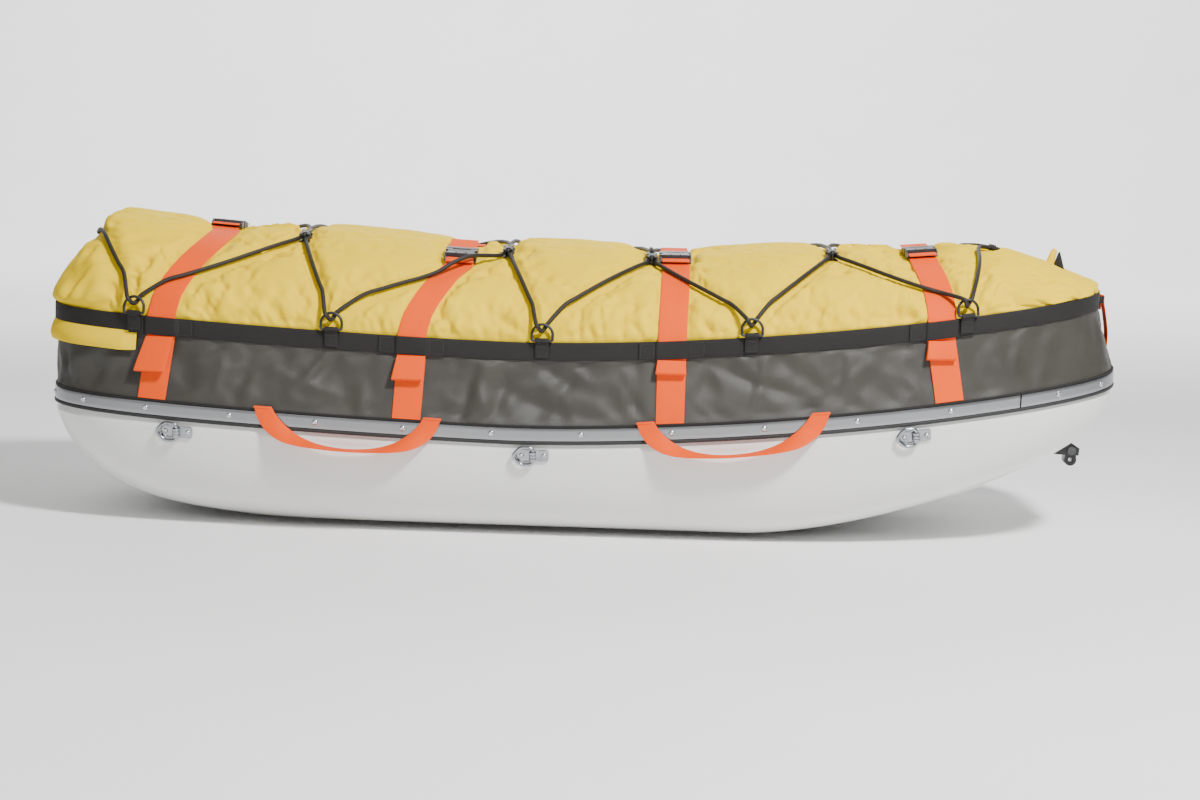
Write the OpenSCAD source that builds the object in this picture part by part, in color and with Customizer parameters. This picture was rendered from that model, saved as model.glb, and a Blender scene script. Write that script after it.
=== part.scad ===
// Pulk sled: a moulded hull with runners, a fabric skirt, a laced and strapped load cover.
// X points to the bow, Y to the left, Z up; the origin is on the floor under the middle of the rim.

/* [Hull] */
// Length over the rim
hull_l = 1550; // [1400:10:1800]
// Width over the rim
hull_w = 560; // [520:5:640]
// Power of the superellipse that shapes the bow half of the plan
plan_pow = 3.5; // [3:0.1:4.2]
// Power of the superellipse that shapes the stern half of the plan
stern_pow = 5.5; // [3:0.1:7]
// Thickness of the hull laminate
hull_t = 4; // [3:0.5:6]
// Height of the rim line above the floor at its lowest point
rim_h = 152; // [140:1:175]
// Distance of that lowest point behind the middle
sheer_back = 100; // [50:10:200]
// Rise of the rim line at the bow
bow_sheer = 93; // [80:1:120]
// Rise of the rim line at the stern
stern_sheer = 27; // [0:1:36]
// Width of the flat bottom amidships
bottom_w = 380; // [340:5:420]
// Distance of the bottom's bow end from the end of the rim
bottom_bow_in = 50; // [40:5:80]
// Distance of the bottom's stern end from the end of the rim
bottom_stern_in = 200; // [150:5:230]
// Distance in front of the middle where the bottom starts to rise
rise_from = 230; // [150:10:300]
// Rise of the bottom at its bow end
bow_rise = 140; // [120:5:170]
// Rise of the bottom at its stern end
stern_rise = 10; // [0:1:20]
// Height of the moulded ledge under the rim edge
ledge_h = 8; // [5:1:12]

/* [Runners] */
// Width of a runner
runner_w = 46; // [30:1:60]
// Height of a runner below the hull
runner_h = 8; // [6:1:12]
// Distance of each outer runner from the middle
runner_y = 120; // [90:5:140]

/* [Rim] */
// Height of the aluminium band
band_h = 18; // [15:1:24]
// Thickness of the aluminium band
band_t = 2.5; // [2:0.5:4]
// Height of the rubber edge below the band
edge_h = 5; // [4:0.5:8]
// How far the rubber edge stands proud of the band
edge_proud = 1.2; // [0.5:0.1:3]
// Number of rim screws along the middle of each side
screw_count = 10; // [8:1:12]
// Diameter of a rim screw's shank
screw_d = 4; // [3:0.5:5]
// Diameter of a rim screw's head
screw_head_d = 8; // [7:0.5:10]
// Height of a rim screw's head
screw_head_h = 2; // [1.5:0.5:3]

/* [Skirt] */
// Height from the rim line to the middle of the top webbing
skirt_h = 115; // [100:5:140]
// Thickness of the skirt fabric
skirt_t = 1.5; // [1:0.1:2]
// How far the skirt leans in at the sides
skirt_in_side = 18; // [14:1:30]
// How far the skirt leans in at the bow
skirt_in_bow = 31; // [25:1:45]
// How far the skirt leans in at the stern
skirt_in_stern = 3; // [0:1:15]
// Height of the bead that covers the band's upper edge
bead_h = 3.5; // [3:0.5:5]
// Height of the webbing round the top
web_h = 25; // [20:1:30]
// Thickness of the webbing round the top
web_t = 2; // [1.5:0.5:3]

/* [Cover] */
// Height of the crown above the webbing at the stern
stern_crown = 122; // [100:2:140]
// Height of the crown above the webbing near the bow
bow_crown = 90; // [70:2:100]
// Length over which the crown runs out at the bow
bow_run = 264; // [220:4:300]
// Length over which the crown runs out at the stern
stern_run = 75; // [70:5:120]
// Depth of the waist that each strap pulls into the cover
strap_dip = 9; // [2:1:12]
// Thickness of the cover fabric and its lining
cover_t = 2; // [1.5:0.5:3]
// Drop of the stern flap below the webbing
flap_h = 25; // [20:1:35]

/* [Straps] */
// Width of a load strap
strap_w = 40; // [30:1:44]
// Thickness of the webbing of straps and handles
strap_t = 1.5; // [1:0.25:2]
// Height of a strap above the smooth cover
strap_lift = 2.4; // [2:0.2:4]
// Length of a keeper over a strap
keeper_l = 92; // [80:2:110]
// Length of a side release buckle
buckle_l = 62; // [60:1:70]
// Width of a buckle
buckle_w = 46; // [46:1:52]
// Thickness of a buckle
buckle_h = 12; // [11:0.5:14]
// Diameter of a buckle's webbing bar
bar_d = 4.4; // [4:0.2:5]
// Travel of a buckle's plug out of its socket
buckle_travel = 30; // [24:1:34]

/* [Lacing] */
// Diameter of the elastic cord
cord_d = 6; // [5:0.5:7]
// Wire diameter of a cord ring
ring_wire = 4; // [3:0.5:4.5]
// Width of a cord ring between wire centres
ring_w = 29; // [28:1:34]
// Width of a ring's webbing tab
tab_w = 19; // [16:1:23]
// Lean of the cord rings towards the cover, in degrees
ring_lean = 8; // [4:1:12]

/* [Handles] */
// Width of handle webbing
handle_w = 25; // [20:1:30]
// Drop of a handle below the rim line
handle_drop = 34; // [30:1:60]
// Thickness of the rolled hem at each end of a handle
hem_d = 4; // [3.5:0.25:4.5]

/* [Lash eyes] */
// Length of a lash plate
plate_l = 44; // [42:1:56]
// Height of a lash plate
plate_h = 17; // [15:1:20]
// Thickness of a lash plate
plate_t = 2; // [1.5:0.5:3]
// Wire diameter of a lash ring
lash_wire = 5; // [4:0.5:6]
// Width of a lash ring between wire centres
lash_w = 24; // [23:1:30]
// Reach of a lash ring from its hinge to its wire's middle
lash_reach = 27; // [24:1:32]
// Depth of the lash eyes below the rim line
lash_drop = 29; // [29:1:40]

/* [Tow fitting] */
// Diameter of the tow pin
tow_pin_d = 8; // [6:0.5:10]
// Width of the tow link
tow_link_w = 24; // [20:1:28]
// Diameter of the hole in the tow link
tow_eye_d = 7; // [6:0.5:8]
// Thickness of each cheek of the tow bracket
cheek_t = 4; // [3:0.5:6]

/* [Clearances] */
// Gap between stacked layers
fit = 0.3; // [0.2:0.05:0.4]
// Gap between the buckle halves
buckle_fit = 0.4; // [0.3:0.05:0.5]
// Radial gap in the hinges
hinge_fit = 0.3; // [0.2:0.05:0.4]

/* [Hidden] */

// Points round a full outline, and round the softer pieces
ring_n = 96;
soft_n = 48;
// Facets of true round parts
round_n = 32;
plan_steps = 720;

// Offsets of the rim's layers, measured outward from the hull's flange
skirt_out = fit + skirt_t;
band_in = skirt_out + fit;
band_out = band_in + band_t;
edge_out = band_out + edge_proud;
// Offsets at the skirt's top, measured outward from the skirt's inner face
web_in = skirt_t + fit;
web_out = web_in + web_t;

// An outline is the place of its middle along X and its two half sizes
rim_o = [0, hull_l / 2 - edge_out, hull_w / 2 - edge_out];
top_stern = -hull_l / 2 + skirt_in_stern;
top_bow = hull_l / 2 - skirt_in_bow;
top_o = [(top_bow + top_stern) / 2, (top_bow - top_stern) / 2, hull_w / 2 - skirt_in_side];
floor_stern = -hull_l / 2 + bottom_stern_in;
floor_bow = hull_l / 2 - bottom_bow_in;
floor_o = [(floor_bow + floor_stern) / 2, (floor_bow - floor_stern) / 2, bottom_w / 2];
bilge_o = [15, rim_o[1] - 22, rim_o[2] - 14];
bilge_z = 12;
cover_o = [top_o[0], top_o[1] - fit, top_o[2] - fit];

// Strap stations: place at the rim, at the webbing, at the top, and the buckle's place across
straps = [
  [-609, -597, -542, 25],
  [-251, -246, -182, -119],
  [116, 116, 122, -77],
  [507, 492, 479, -64]
];
flap_drops = [50, 35, 20, 27];
ring_x = [-634, -358, -65, 226, 526];
// 1 where a ring's tab lies over the end of a keeper
ring_over = [1, 0, 0, 0, 1];
clip_x = [-417, -121, 86, 348];
clip_y = -100;
lash_x = [-571, -73, 460];
// Ends of the side handles
handle_x = [[-450, -214], [82, 326]];
bow_seam = 8 / 96;

// Plan outline

function sgn_pow(v, p) = sign(v) * pow(abs(v), p);
// Power of the plan on the side of the middle that x is on
function plan_p(x) = x < 0 ? stern_pow : plan_pow;
function clamp1(v) = max(0, min(1, v));
function mix(a, b, t) = a + (b - a) * t;
function unit(v) = v / norm(v);

function plan_xy(f) = let (p = plan_p(cos(f)))
  pow(pow(abs(cos(f)) / rim_o[1], p) + pow(abs(sin(f)) / rim_o[2], p), -1 / p) * [cos(f), sin(f)];
plan_arc = [for (i = 0, s = 0; i <= plan_steps;
  s = s + norm(plan_xy((i + 1) * 360 / plan_steps) - plan_xy(i * 360 / plan_steps)), i = i + 1)
  [s, i * 360 / plan_steps]];
plan_len = plan_arc[plan_steps][0];

// Point of the unit outline at a share s of its arc, counted from the bow tip towards the left
function u_at(s) =
  let (p = plan_xy(lookup(plan_len * (s - floor(s)), plan_arc))) [p.x / rim_o[1], p.y / rim_o[2]];
// Height of the unit outline over its middle line
function u_half(ux) = let (p = plan_p(ux)) pow(max(0, 1 - pow(min(1, abs(ux)), p)), 1 / p);
// Point of the unit outline on the right hand side that outline o has at x
function u_x(o, x) = let (ux = (x - o[0]) / o[1]) [ux, -u_half(ux)];
// Point of outline o at unit point u, pushed out by d
function on(o, u, d = 0) =
  let (p = plan_p(u.x), g = [sgn_pow(u.x, p - 1) / o[1], sgn_pow(u.y, p - 1) / o[2]])
  [o[0] + o[1] * u.x, o[2] * u.y] + d * unit(g);
function lift(p, z) = [p.x, p.y, z];

us = [for (i = [0 : ring_n - 1]) u_at(i / ring_n)];
soft_us = [for (i = [0 : soft_n - 1]) u_at(i / soft_n)];

// Heights

function rim_z(x) = rim_h + (x > -sheer_back
  ? bow_sheer * pow((x + sheer_back) / (hull_l / 2 + sheer_back), 1.7)
  : stern_sheer * pow((-x - sheer_back) / (hull_l / 2 - sheer_back), 1.45));
function web_z(x) = rim_z(x) + skirt_h;
function web_top(x) = web_z(x) + web_h / 2;
stern_rise_run = 170;
function floor_z(x) = runner_h
  + (x > rise_from ? bow_rise * pow((x - rise_from) / (floor_bow - rise_from), 1.6) : 0)
  + stern_rise * pow(clamp1((floor_stern + stern_rise_run - x) / stern_rise_run), 2);

// Crown of the cover over the webbing, along the middle
crown_from = -100;
crown_to = 480;
waist_l = 85;
function waist(x) = strap_dip * (exp(-pow((x - straps[0][2]) / waist_l, 2))
  + exp(-pow((x - straps[1][2]) / waist_l, 2)) + exp(-pow((x - straps[2][2]) / waist_l, 2))
  + exp(-pow((x - straps[3][2]) / waist_l, 2)));
function bow_fade(x) = pow(1 - pow(clamp1((x - top_bow + bow_run) / bow_run), 2), 1.2);
function stern_fade(x) = 1 - pow(clamp1((top_stern + stern_run - x) / stern_run), 1.6);
function crown(x) = (mix(stern_crown, bow_crown, clamp1((x - crown_from) / (crown_to - crown_from)))
  - waist(x)) * bow_fade(x) * stern_fade(x);
function cover_half(x) = cover_o[2] * u_half((x - cover_o[0]) / cover_o[1]);
function cover_z(x, y) =
  let (h = cover_half(x), v = h < 0.01 ? 1 : min(1, abs(y) / h))
  web_top(x) + crown(x) * pow(1 - pow(v, 2.2), 0.55);
// Direction away from the cover in the plane across the sled
function cover_n(x, y) =
  let (s = 0.5, m = 0.985 * cover_half(x), q = max(-m, min(m, y)),
    slope = (cover_z(x, q + s) - cover_z(x, q - s)) / (2 * s))
  unit([0, -slope, 1]);
// Point over the cover on side k (1 left, -1 right): a is the angle from the webbing to the top
function cover_pt(x, a, k, d) =
  let (y = k * cover_half(x) * cos(a)) [x, y, cover_z(x, y)] + d * cover_n(x, y);

// Solids through rows of points

// Open stack of rings whose ends close across the sled
module stack(rings) {
  n = len(rings[0]);
  m = len(rings);
  top = (m - 1) * n;
  side = [for (j = [0 : m - 2]) for (i = [0 : n - 1])
    let (a = j * n + i, b = j * n + (i + 1) % n) each [[a, a + n, b], [b, a + n, b + n]]];
  low = [for (i = [0 : n / 2 - 1]) let (a = i, b = i + 1, c = (n - i - 1) % n, d = (n - i) % n)
    each i == 0 ? [[a, b, c]] : i == n / 2 - 1 ? [[a, b, d]] : [[a, b, c], [a, c, d]]];
  polyhedron([for (r = rings) each r],
    concat(side, low, [for (f = low) [top + f[2], top + f[1], top + f[0]]]));
}

// Solid through a list of sections with equal numbers of corners; both faces of a flat section
// are split along the same diagonal, so that thin twisted webbing keeps its thickness
module sweep(s) {
  k = len(s[0]);
  m = len(s);
  polyhedron([for (q = s) each q], concat(
    [[for (i = [k - 1 : -1 : 0]) i]], [[for (i = [0 : k - 1]) (m - 1) * k + i]],
    [for (j = [0 : m - 2]) for (i = [0 : k - 1])
      let (a = j * k + i, b = j * k + (i + 1) % k)
      each i < k / 2 ? [[a, b, a + k], [b, b + k, a + k]] : [[a, b, b + k], [a, b + k, a + k]]]));
}

// The same, closed on itself
module loop_sweep(s) {
  k = len(s[0]);
  m = len(s);
  polyhedron([for (q = s) each q], [for (j = [0 : m - 1]) for (i = [0 : k - 1])
    let (a = j * k + i, b = j * k + (i + 1) % k, c = ((j + 1) % m) * k)
    each [[a, b, c + i], [b, c + (i + 1) % k, c + i]]]);
}

// Section of a rim layer at unit point u, from offset d0 to d1 and height z0 to z1 over the rim line
function rim_box(u, d0, d1, z0, z1) = let (p = on(rim_o, u), z = rim_z(p.x))
  [lift(on(rim_o, u, d0), z + z0), lift(on(rim_o, u, d0), z + z1),
   lift(on(rim_o, u, d1), z + z1), lift(on(rim_o, u, d1), z + z0)];
// The same at the top of the skirt, over the middle of the webbing
function top_box(u, d0, d1, z0, z1) = let (p = on(top_o, u), z = web_z(p.x))
  [lift(on(top_o, u, d0), z + z0), lift(on(top_o, u, d0), z + z1),
   lift(on(top_o, u, d1), z + z1), lift(on(top_o, u, d1), z + z0)];

// Hull

flange_top = band_h / 2;
flange_low = -band_h / 2 - fit - edge_h - 2;
ledge_out = 2;
hull_ts = [0, 0.12, 0.26, 0.42, 0.6, 0.8, 1];

// Point of the hull's side at unit point u, t from the ledge to the flat bottom, d inward
function hull_pt(u, t, d = 0) =
  let (r = on([rim_o[0], rim_o[1] + ledge_out - d, rim_o[2] + ledge_out - d], u),
    k = on([bilge_o[0], bilge_o[1] - d, bilge_o[2] - d], u),
    b = on([floor_o[0], floor_o[1] - d, floor_o[2] - d], u),
    p = [lift(r, rim_z(r.x) + flange_low - ledge_h),
      lift(k, min(floor_z(k.x) + bilge_z, rim_z(k.x) + flange_low - ledge_h - 10) + d),
      lift(b, floor_z(b.x) + d)])
  (1 - t) * (1 - t) * p[0] + 2 * t * (1 - t) * p[1] + t * t * p[2];

function flange_ring(d, z) = [for (u = us) let (p = on(rim_o, u, d)) lift(p, rim_z(on(rim_o, u).x) + z)];

module hull_shell() {
  stack(concat(
    [for (i = [len(hull_ts) - 1 : -1 : 0]) [for (u = us) hull_pt(u, hull_ts[i], hull_t)]],
    [flange_ring(-hull_t, flange_low), flange_ring(-hull_t, flange_top),
     flange_ring(0, flange_top), flange_ring(0, flange_low)],
    [for (t = hull_ts) [for (u = us) hull_pt(u, t)]]));
}

// Frame of a place on the hull's right hand side: X aft to bow, Y out of the wall, Z down the wall
function wall_pt(x, t) =
  let (rows = [for (i = [ring_n / 2 : ring_n]) hull_pt(us[i % ring_n], t)])
  [x, lookup(x, [for (p = rows) [p.x, p.y]]), lookup(x, [for (p = rows) [p.x, p.z]])];
function wall_t(x, z, lo = 0, hi = 0.6, n = 14) =
  n == 0 ? (lo + hi) / 2
  : let (m = (lo + hi) / 2) wall_pt(x, m).z > z ? wall_t(x, z, m, hi, n - 1) : wall_t(x, z, lo, m, n - 1);
function frame_at(x, z) =
  let (t = wall_t(x, z), p = wall_pt(x, t), a = wall_pt(x + 12, t) - wall_pt(x - 12, t),
    e = unit(a), up = unit(wall_pt(x, t - 0.03) - wall_pt(x, t + 0.03)), n = unit(cross(e, up)),
    o = n.y < 0 ? n : -n)
  [p, e, o, unit(cross(e, o))];
lash_frames = [for (x = lash_x) frame_at(x, rim_z(x) - lash_drop)];
module at_frame(f) {
  multmatrix([
    [f[1].x, f[2].x, f[3].x, f[0].x],
    [f[1].y, f[2].y, f[3].y, f[0].y],
    [f[1].z, f[2].z, f[3].z, f[0].z],
    [0, 0, 0, 1]]) children();
}
module both_sides() {
  children();
  mirror([0, 1, 0]) children();
}

plate_gap = 0.7;
plate_screw_x = plate_l / 2 - 6;
module lash_holes(d) {
  for (f = lash_frames) at_frame(f) for (s = [-1, 1]) {
    translate([s * plate_screw_x, 4, 0]) rotate([90, 0, 0]) cylinder(d = d, h = 14, $fn = round_n);
  }
}
// Screw places round the rim: along the sides their pitch grows towards the bow
screw_xs = concat([-708, 664], [for (i = [0 : screw_count - 1]) -616 + 117.9 * i + 0.78 * i * i]);
screw_us = concat([for (x = screw_xs) for (k = [-1, 1]) let (u = u_x(rim_o, x)) [u.x, k * u.y]],
  [for (s = [-0.045, -0.015, 0.015, 0.045, 0.455, 0.485, 0.515, 0.545]) u_at(s)]);
// A frame with Y pointing outward at each of them
module at_rim_screws() {
  for (u = screw_us) {
    p = on(rim_o, u);
    q = on(rim_o, u, 1);
    translate(lift(p, rim_z(p.x))) rotate([0, 0, atan2(q.y - p.y, q.x - p.x) - 90]) children();
  }
}
module rim_holes() {
  at_rim_screws() translate([0, -hull_t - 4, 0]) rotate([-90, 0, 0])
    cylinder(d = screw_d + 2 * fit, h = hull_t + edge_out + 8, $fn = round_n);
}

module hull_body() {
  color("#dfe0da") difference() {
    hull_shell();
    rim_holes();
    both_sides() lash_holes(screw_d + 2 * fit);
  }
}

// Runners follow the rocker of the bottom, station by station
runner_xs = [for (i = [ring_n / 2 : -1 : 0]) on(floor_o, us[i]).x];
function runner_side(x0, x1) =
  let (xs = [for (x = runner_xs) if (x > x0 && x < x1) x])
  concat([for (x = xs) [x, floor_z(x)]],
    [for (i = [len(xs) - 1 : -1 : 0]) let (x = xs[i], nose = min(xs[len(xs) - 1] - x, x - xs[0]) / 20)
      [x, floor_z(x) - runner_h * min(1, 0.35 + nose)]]);
module runner(x0, x1, y, w) {
  translate([0, y + w / 2, 0]) rotate([90, 0, 0]) linear_extrude(height = w) polygon(runner_side(x0, x1));
}
tow_x = floor_bow - 28;
module runners() {
  color("#cfd0c8") {
    runner(floor_stern + 60, floor_bow - 120, runner_y, runner_w);
    runner(floor_stern + 60, floor_bow - 120, -runner_y, runner_w);
    runner(floor_stern + 30, tow_x - 50, 0, runner_w);
  }
}

// Rim

edge_top = -band_h / 2 - fit;
module rim_edge() {
  color("#22201e") loop_sweep([for (u = us) rim_box(u, fit, edge_out, edge_top - edge_h, edge_top)]);
}
// Piece of the band between two shares of the rim's arc
module band_piece(s0, s1) {
  n = ceil((s1 - s0) * ring_n);
  color("#a7a8ab") difference() {
    sweep([for (i = [0 : n]) rim_box(u_at(mix(s0, s1, i / n)), band_in, band_out, -band_h / 2, band_h / 2)]);
    rim_holes();
  }
}
seam_gap = 0.0003;
module rim_band_left() band_piece(bow_seam + seam_gap, 0.5 - seam_gap);
module rim_band_right() band_piece(0.5 + seam_gap, 1 - bow_seam - seam_gap);
module rim_band_bow() band_piece(-bow_seam + seam_gap, bow_seam - seam_gap);
module rim_screws() {
  color("#d5d6d8") at_rim_screws() rotate([-90, 0, 0]) {
    translate([0, 0, band_out])
      cylinder(d1 = screw_head_d, d2 = screw_head_d - 3, h = screw_head_h, $fn = round_n);
    translate([0, 0, -hull_t - 1]) cylinder(d = screw_d, h = hull_t + 1 + band_out, $fn = round_n);
  }
}

// Skirt

skirt_low = -7;
module skirt() {
  color("#4b4945") difference() {
    loop_sweep([for (u = us)
      let (low = rim_box(u, fit, skirt_out, skirt_low, band_h / 2),
        high = top_box(u, 0, skirt_t, -web_h / 2, web_h / 2))
      [low[0], low[1], high[0], high[1], high[2], high[3], low[2], low[3]]]);
    rim_holes();
  }
}
bead_z = band_h / 2 + fit;
module skirt_bead() {
  color("#171615") loop_sweep([for (u = us)
    rim_box(u, skirt_out + fit, band_out - 0.4, bead_z, bead_z + bead_h)]);
}
module top_webbing() {
  color("#1d1b19") loop_sweep([for (u = us) top_box(u, web_in, web_out, -web_h / 2, web_h / 2)]);
}

// Straps

strap_in = fit;
// Height of a strap's lower end over the rim line
strap_foot = bead_z + bead_h + fit;
// Outer face of the skirt at x, a share f of the way from the band to the webbing
function skirt_pt(x, f) =
  let (a = on(rim_o, u_x(rim_o, x), skirt_out), b = on(top_o, u_x(top_o, x), skirt_t))
  [x, mix(a.y, b.y, f), mix(rim_z(x) + band_h / 2, web_z(x) - web_h / 2, f)];
function skirt_n(x) = let (d = skirt_pt(x, 1) - skirt_pt(x, 0)) unit([0, -d.z, d.y]);
// Middle of strap k at station a, which is below 0 on the skirt and an angle on the cover
strap_foot_f = (strap_foot - band_h / 2) / (skirt_h - web_h / 2 - band_h / 2);
function cover_x(s, a) = let (t = clamp1(a / 76)) s[1] + (s[2] - s[1]) * t * t * (3 - 2 * t);

// Underside of a buckle over the cover
buckle_lift = strap_lift + 0.8;
// Frame of buckle k: X along the sled, Y up over the load to the left, Z away from the cover
function buckle_frame(k) =
  let (s = straps[k], x = cover_x(s, 60), y = s[3],
    dx = (cover_z(x + 20, y) - cover_z(x - 20, y)) / 40,
    dy = (cover_z(x, y + 25) - cover_z(x, y - 25)) / 50,
    ex = unit([1, 0, dx]), n = unit(cross(ex, unit([0, 1, dy]))), ey = cross(n, ex))
  [[x, y, cover_z(x, y)] + n * buckle_lift, ex, ey, n];
buckle_frames = [for (k = [0 : 3]) buckle_frame(k)];
function from_frame(f, p) = f[0] + p.x * f[1] + p.y * f[2] + p.z * f[3];

// Cross section of a strap from its middle line's edges and its outward direction
function strap_sec(l, r, nl, nr) = [l, l + strap_t * nl, r + strap_t * nr, r];
skirt_fit = 0.7;
function skirt_sec(k, f) =
  let (s = straps[k], x = mix(s[0], s[1], f), l = x - strap_w / 2, r = x + strap_w / 2)
  strap_sec(skirt_pt(l, f) + skirt_fit * skirt_n(l), skirt_pt(r, f) + skirt_fit * skirt_n(r),
    skirt_n(l), skirt_n(r));
function web_sec(k, dz) =
  let (s = straps[k], l = s[1] - strap_w / 2, r = s[1] + strap_w / 2, d = web_out + fit)
  [for (e = [[l, d], [l, d + strap_t], [r, d + strap_t], [r, d]])
    lift([e[0], on(top_o, u_x(top_o, e[0]), e[1]).y], web_z(e[0]) + dz)];
function cover_sec(k, a) =
  let (s = straps[k], x = cover_x(s, a), l = x - strap_w / 2, r = x + strap_w / 2,
    pl = cover_pt(l, a, -1, strap_lift), pr = cover_pt(r, a, -1, strap_lift))
  strap_sec(pl, pr, cover_n(l, pl.y), cover_n(r, pr.y));
// Section in a buckle's frame at y, height z, turned by angle b about the webbing bar
function frame_sec(f, y, z, b) =
  let (n = [0, -sin(b), cos(b)], w = strap_w / 2)
  [for (q = [[-w, 0], [-w, 1], [w, 1], [w, 0]])
    from_frame(f, [q[0], y, z] + q[1] * strap_t * n)];

// Height of the webbing bar over the buckle's underside, and its place along the buckle
bar_z = strap_t + fit + bar_d / 2;
bar_y = buckle_l / 2 - bar_d / 2 - 0.5;
wrap_r = bar_d / 2 + fit;
// Webbing that comes along the underside, turns round the bar and lies back on itself
// g is 1 where the bar is on the left of the buckle and -1 on its right
function wrap(f, g, tail) = concat(
  [frame_sec(f, g * (bar_y + 12), 0, 0), frame_sec(f, g * (bar_y + 3), 0, 0)],
  [for (a = [0 : 30 : 180])
    let (c = g * bar_y - g * wrap_r * sin(a), z = bar_z - wrap_r * cos(a), w = strap_w / 2,
      n = [0, -g * sin(a), -cos(a)])
    [for (q = [[-w, 1], [-w, 0], [w, 0], [w, 1]]) from_frame(f, [q[0], c, z] + q[1] * strap_t * n)]],
  [for (y = [6, tail]) let (z = bar_z + wrap_r - (y > 6 ? 1.2 : 0))
    [for (q = [[-1, 1], [-1, 0], [1, 0], [1, 1]])
      from_frame(f, [q[0] * strap_w / 2, g * (bar_y + y), z + q[1] * strap_t])]]);

// Angle on the cover where the strap reaches a buckle that starts at place y across
function reach_angle(k, y) = let (x = cover_x(straps[k], 60)) acos(max(-1, min(1, -y / cover_half(x))));
function strap_run(k, a_end) = concat(
  [for (f = [strap_foot_f, 0.4, 0.75, 0.97]) skirt_sec(k, f)],
  [web_sec(k, -web_h / 2), web_sec(k, web_h / 2 + 2)],
  [for (a = [14 : 8 : a_end - 4]) cover_sec(k, a)]);

module strap_right(k) {
  f = buckle_frames[k];
  y = from_frame(f, [0, -bar_y - 16, 0]).y;
  color("#f97a45") sweep(concat(strap_run(k, reach_angle(k, y)), wrap(f, -1, 15)));
}
function flip(p) = [p.x, -p.y, p.z];
// On the left the strap runs up to the buckle and ends under its webbing loop
module strap_left(k) {
  f = buckle_frames[k];
  y = from_frame(f, [0, bar_y + buckle_travel + 18, 0]).y;
  a = 180 - reach_angle(k, y);
  color("#f97a45") mirror([0, 1, 0]) sweep(strap_run(k, a));
}

// Buckles

rail_w = (buckle_w - strap_w) / 2 - 0.4;
socket_len = 24;
pocket_w = buckle_w - 8;
pocket_h = buckle_h - 5;
pocket_l = socket_len - 3;
split_y = 3;
socket_y = split_y - socket_len;
// Side rails and webbing bar of a buckle half, on the side of y = 0 that g gives
module buckle_bar(from, g) {
  for (s = [-1, 1]) {
    translate([s * (buckle_w / 2 - rail_w / 2) - rail_w / 2, g > 0 ? from : -buckle_l / 2, 0])
      cube([rail_w, buckle_l / 2 - abs(from), buckle_h - 3]);
  }
  translate([-buckle_w / 2, g * bar_y, bar_z]) rotate([0, 90, 0])
    cylinder(d = bar_d, h = buckle_w, $fn = round_n);
}
prong_w = 7;
module buckle_socket(k) {
  color("#2b2c2e") at_frame(buckle_frames[k]) {
    difference() {
      translate([-buckle_w / 2, socket_y, 0]) cube([buckle_w, socket_len, buckle_h]);
      translate([-pocket_w / 2, split_y - pocket_l, (buckle_h - pocket_h) / 2])
        cube([pocket_w, pocket_l + 1, pocket_h]);
      for (s = [-1, 1]) {
        translate([s * buckle_w / 2 - 5, split_y - 16, (buckle_h - pocket_h) / 2]) cube([10, 9, pocket_h]);
      }
    }
    buckle_bar(socket_y, -1);
  }
}
plug_len = 11;
module buckle_plug(k) {
  g = buckle_fit;
  pocket_z = (buckle_h - pocket_h) / 2 + g;
  color("#2b2c2e") at_frame(buckle_frames[k]) {
    translate([-buckle_w / 2, split_y + g, 0]) cube([buckle_w, plug_len, buckle_h]);
    for (s = [-1, 1]) {
      translate([s * (pocket_w / 2 - g - prong_w / 2) - prong_w / 2, split_y - 17, pocket_z])
        cube([prong_w, 18 + g, pocket_h - 2 * g]);
    }
    translate([-4, split_y - 13, pocket_z]) cube([8, 14 + g, pocket_h - 2 * g]);
    buckle_bar(split_y + g + plug_len, 1);
  }
}
module plug_loop(k) {
  f = buckle_frames[k];
  color("#f97a45") sweep([for (q = wrap(f, 1, 44)) [q[3], q[2], q[1], q[0]]]);
}

// Keepers bridge the straps on the webbing
module keeper(k) {
  x = straps[k][1];
  low = web_out + fit;
  high = web_out + fit + strap_t + fit;
  edge = strap_w / 2 + 1.5;
  sweep([for (q = [[-keeper_l / 2, low], [-edge - 2.4, low], [-edge, high], [0, high], [edge, high],
      [edge + 2.4, low], [keeper_l / 2, low]])
    top_box(u_x(top_o, x + q[0]), q[1], q[1] + strap_t, -web_h / 2, web_h / 2)]);
}
module strap_keepers() {
  color("#1f1d1b") both_sides() for (k = [0 : 3]) keeper(k);
}
// Frame of a place on the webbing: X along it, Y outward, Z up, the origin on the skirt's inner face
module at_web(x, dz) {
  u = u_x(top_o, x);
  p = on(top_o, u);
  q = on(top_o, u, 1);
  translate(lift(p, web_z(x) + dz)) rotate([0, 0, atan2(q.y - p.y, q.x - p.x) + 90])
    mirror([0, 1, 0]) children();
}
// Closed band of webbing with round ends, from y = 0 out, seen along the webbing's width
module web_loop(reach, h, t, w) {
  translate([-w / 2, 0, 0]) rotate([90, 0, 90]) linear_extrude(height = w) difference() {
    stadium(reach, h);
    translate([t, t]) stadium(reach - 2 * t, h - 2 * t);
  }
}
// Upright slot shape, higher than it is wide
module stadium(l, h) {
  r = l / 2;
  translate([0, r]) square([l, h - l]);
  for (y = [r, h - r]) translate([r, y]) circle(r = r, $fn = round_n);
}
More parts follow.
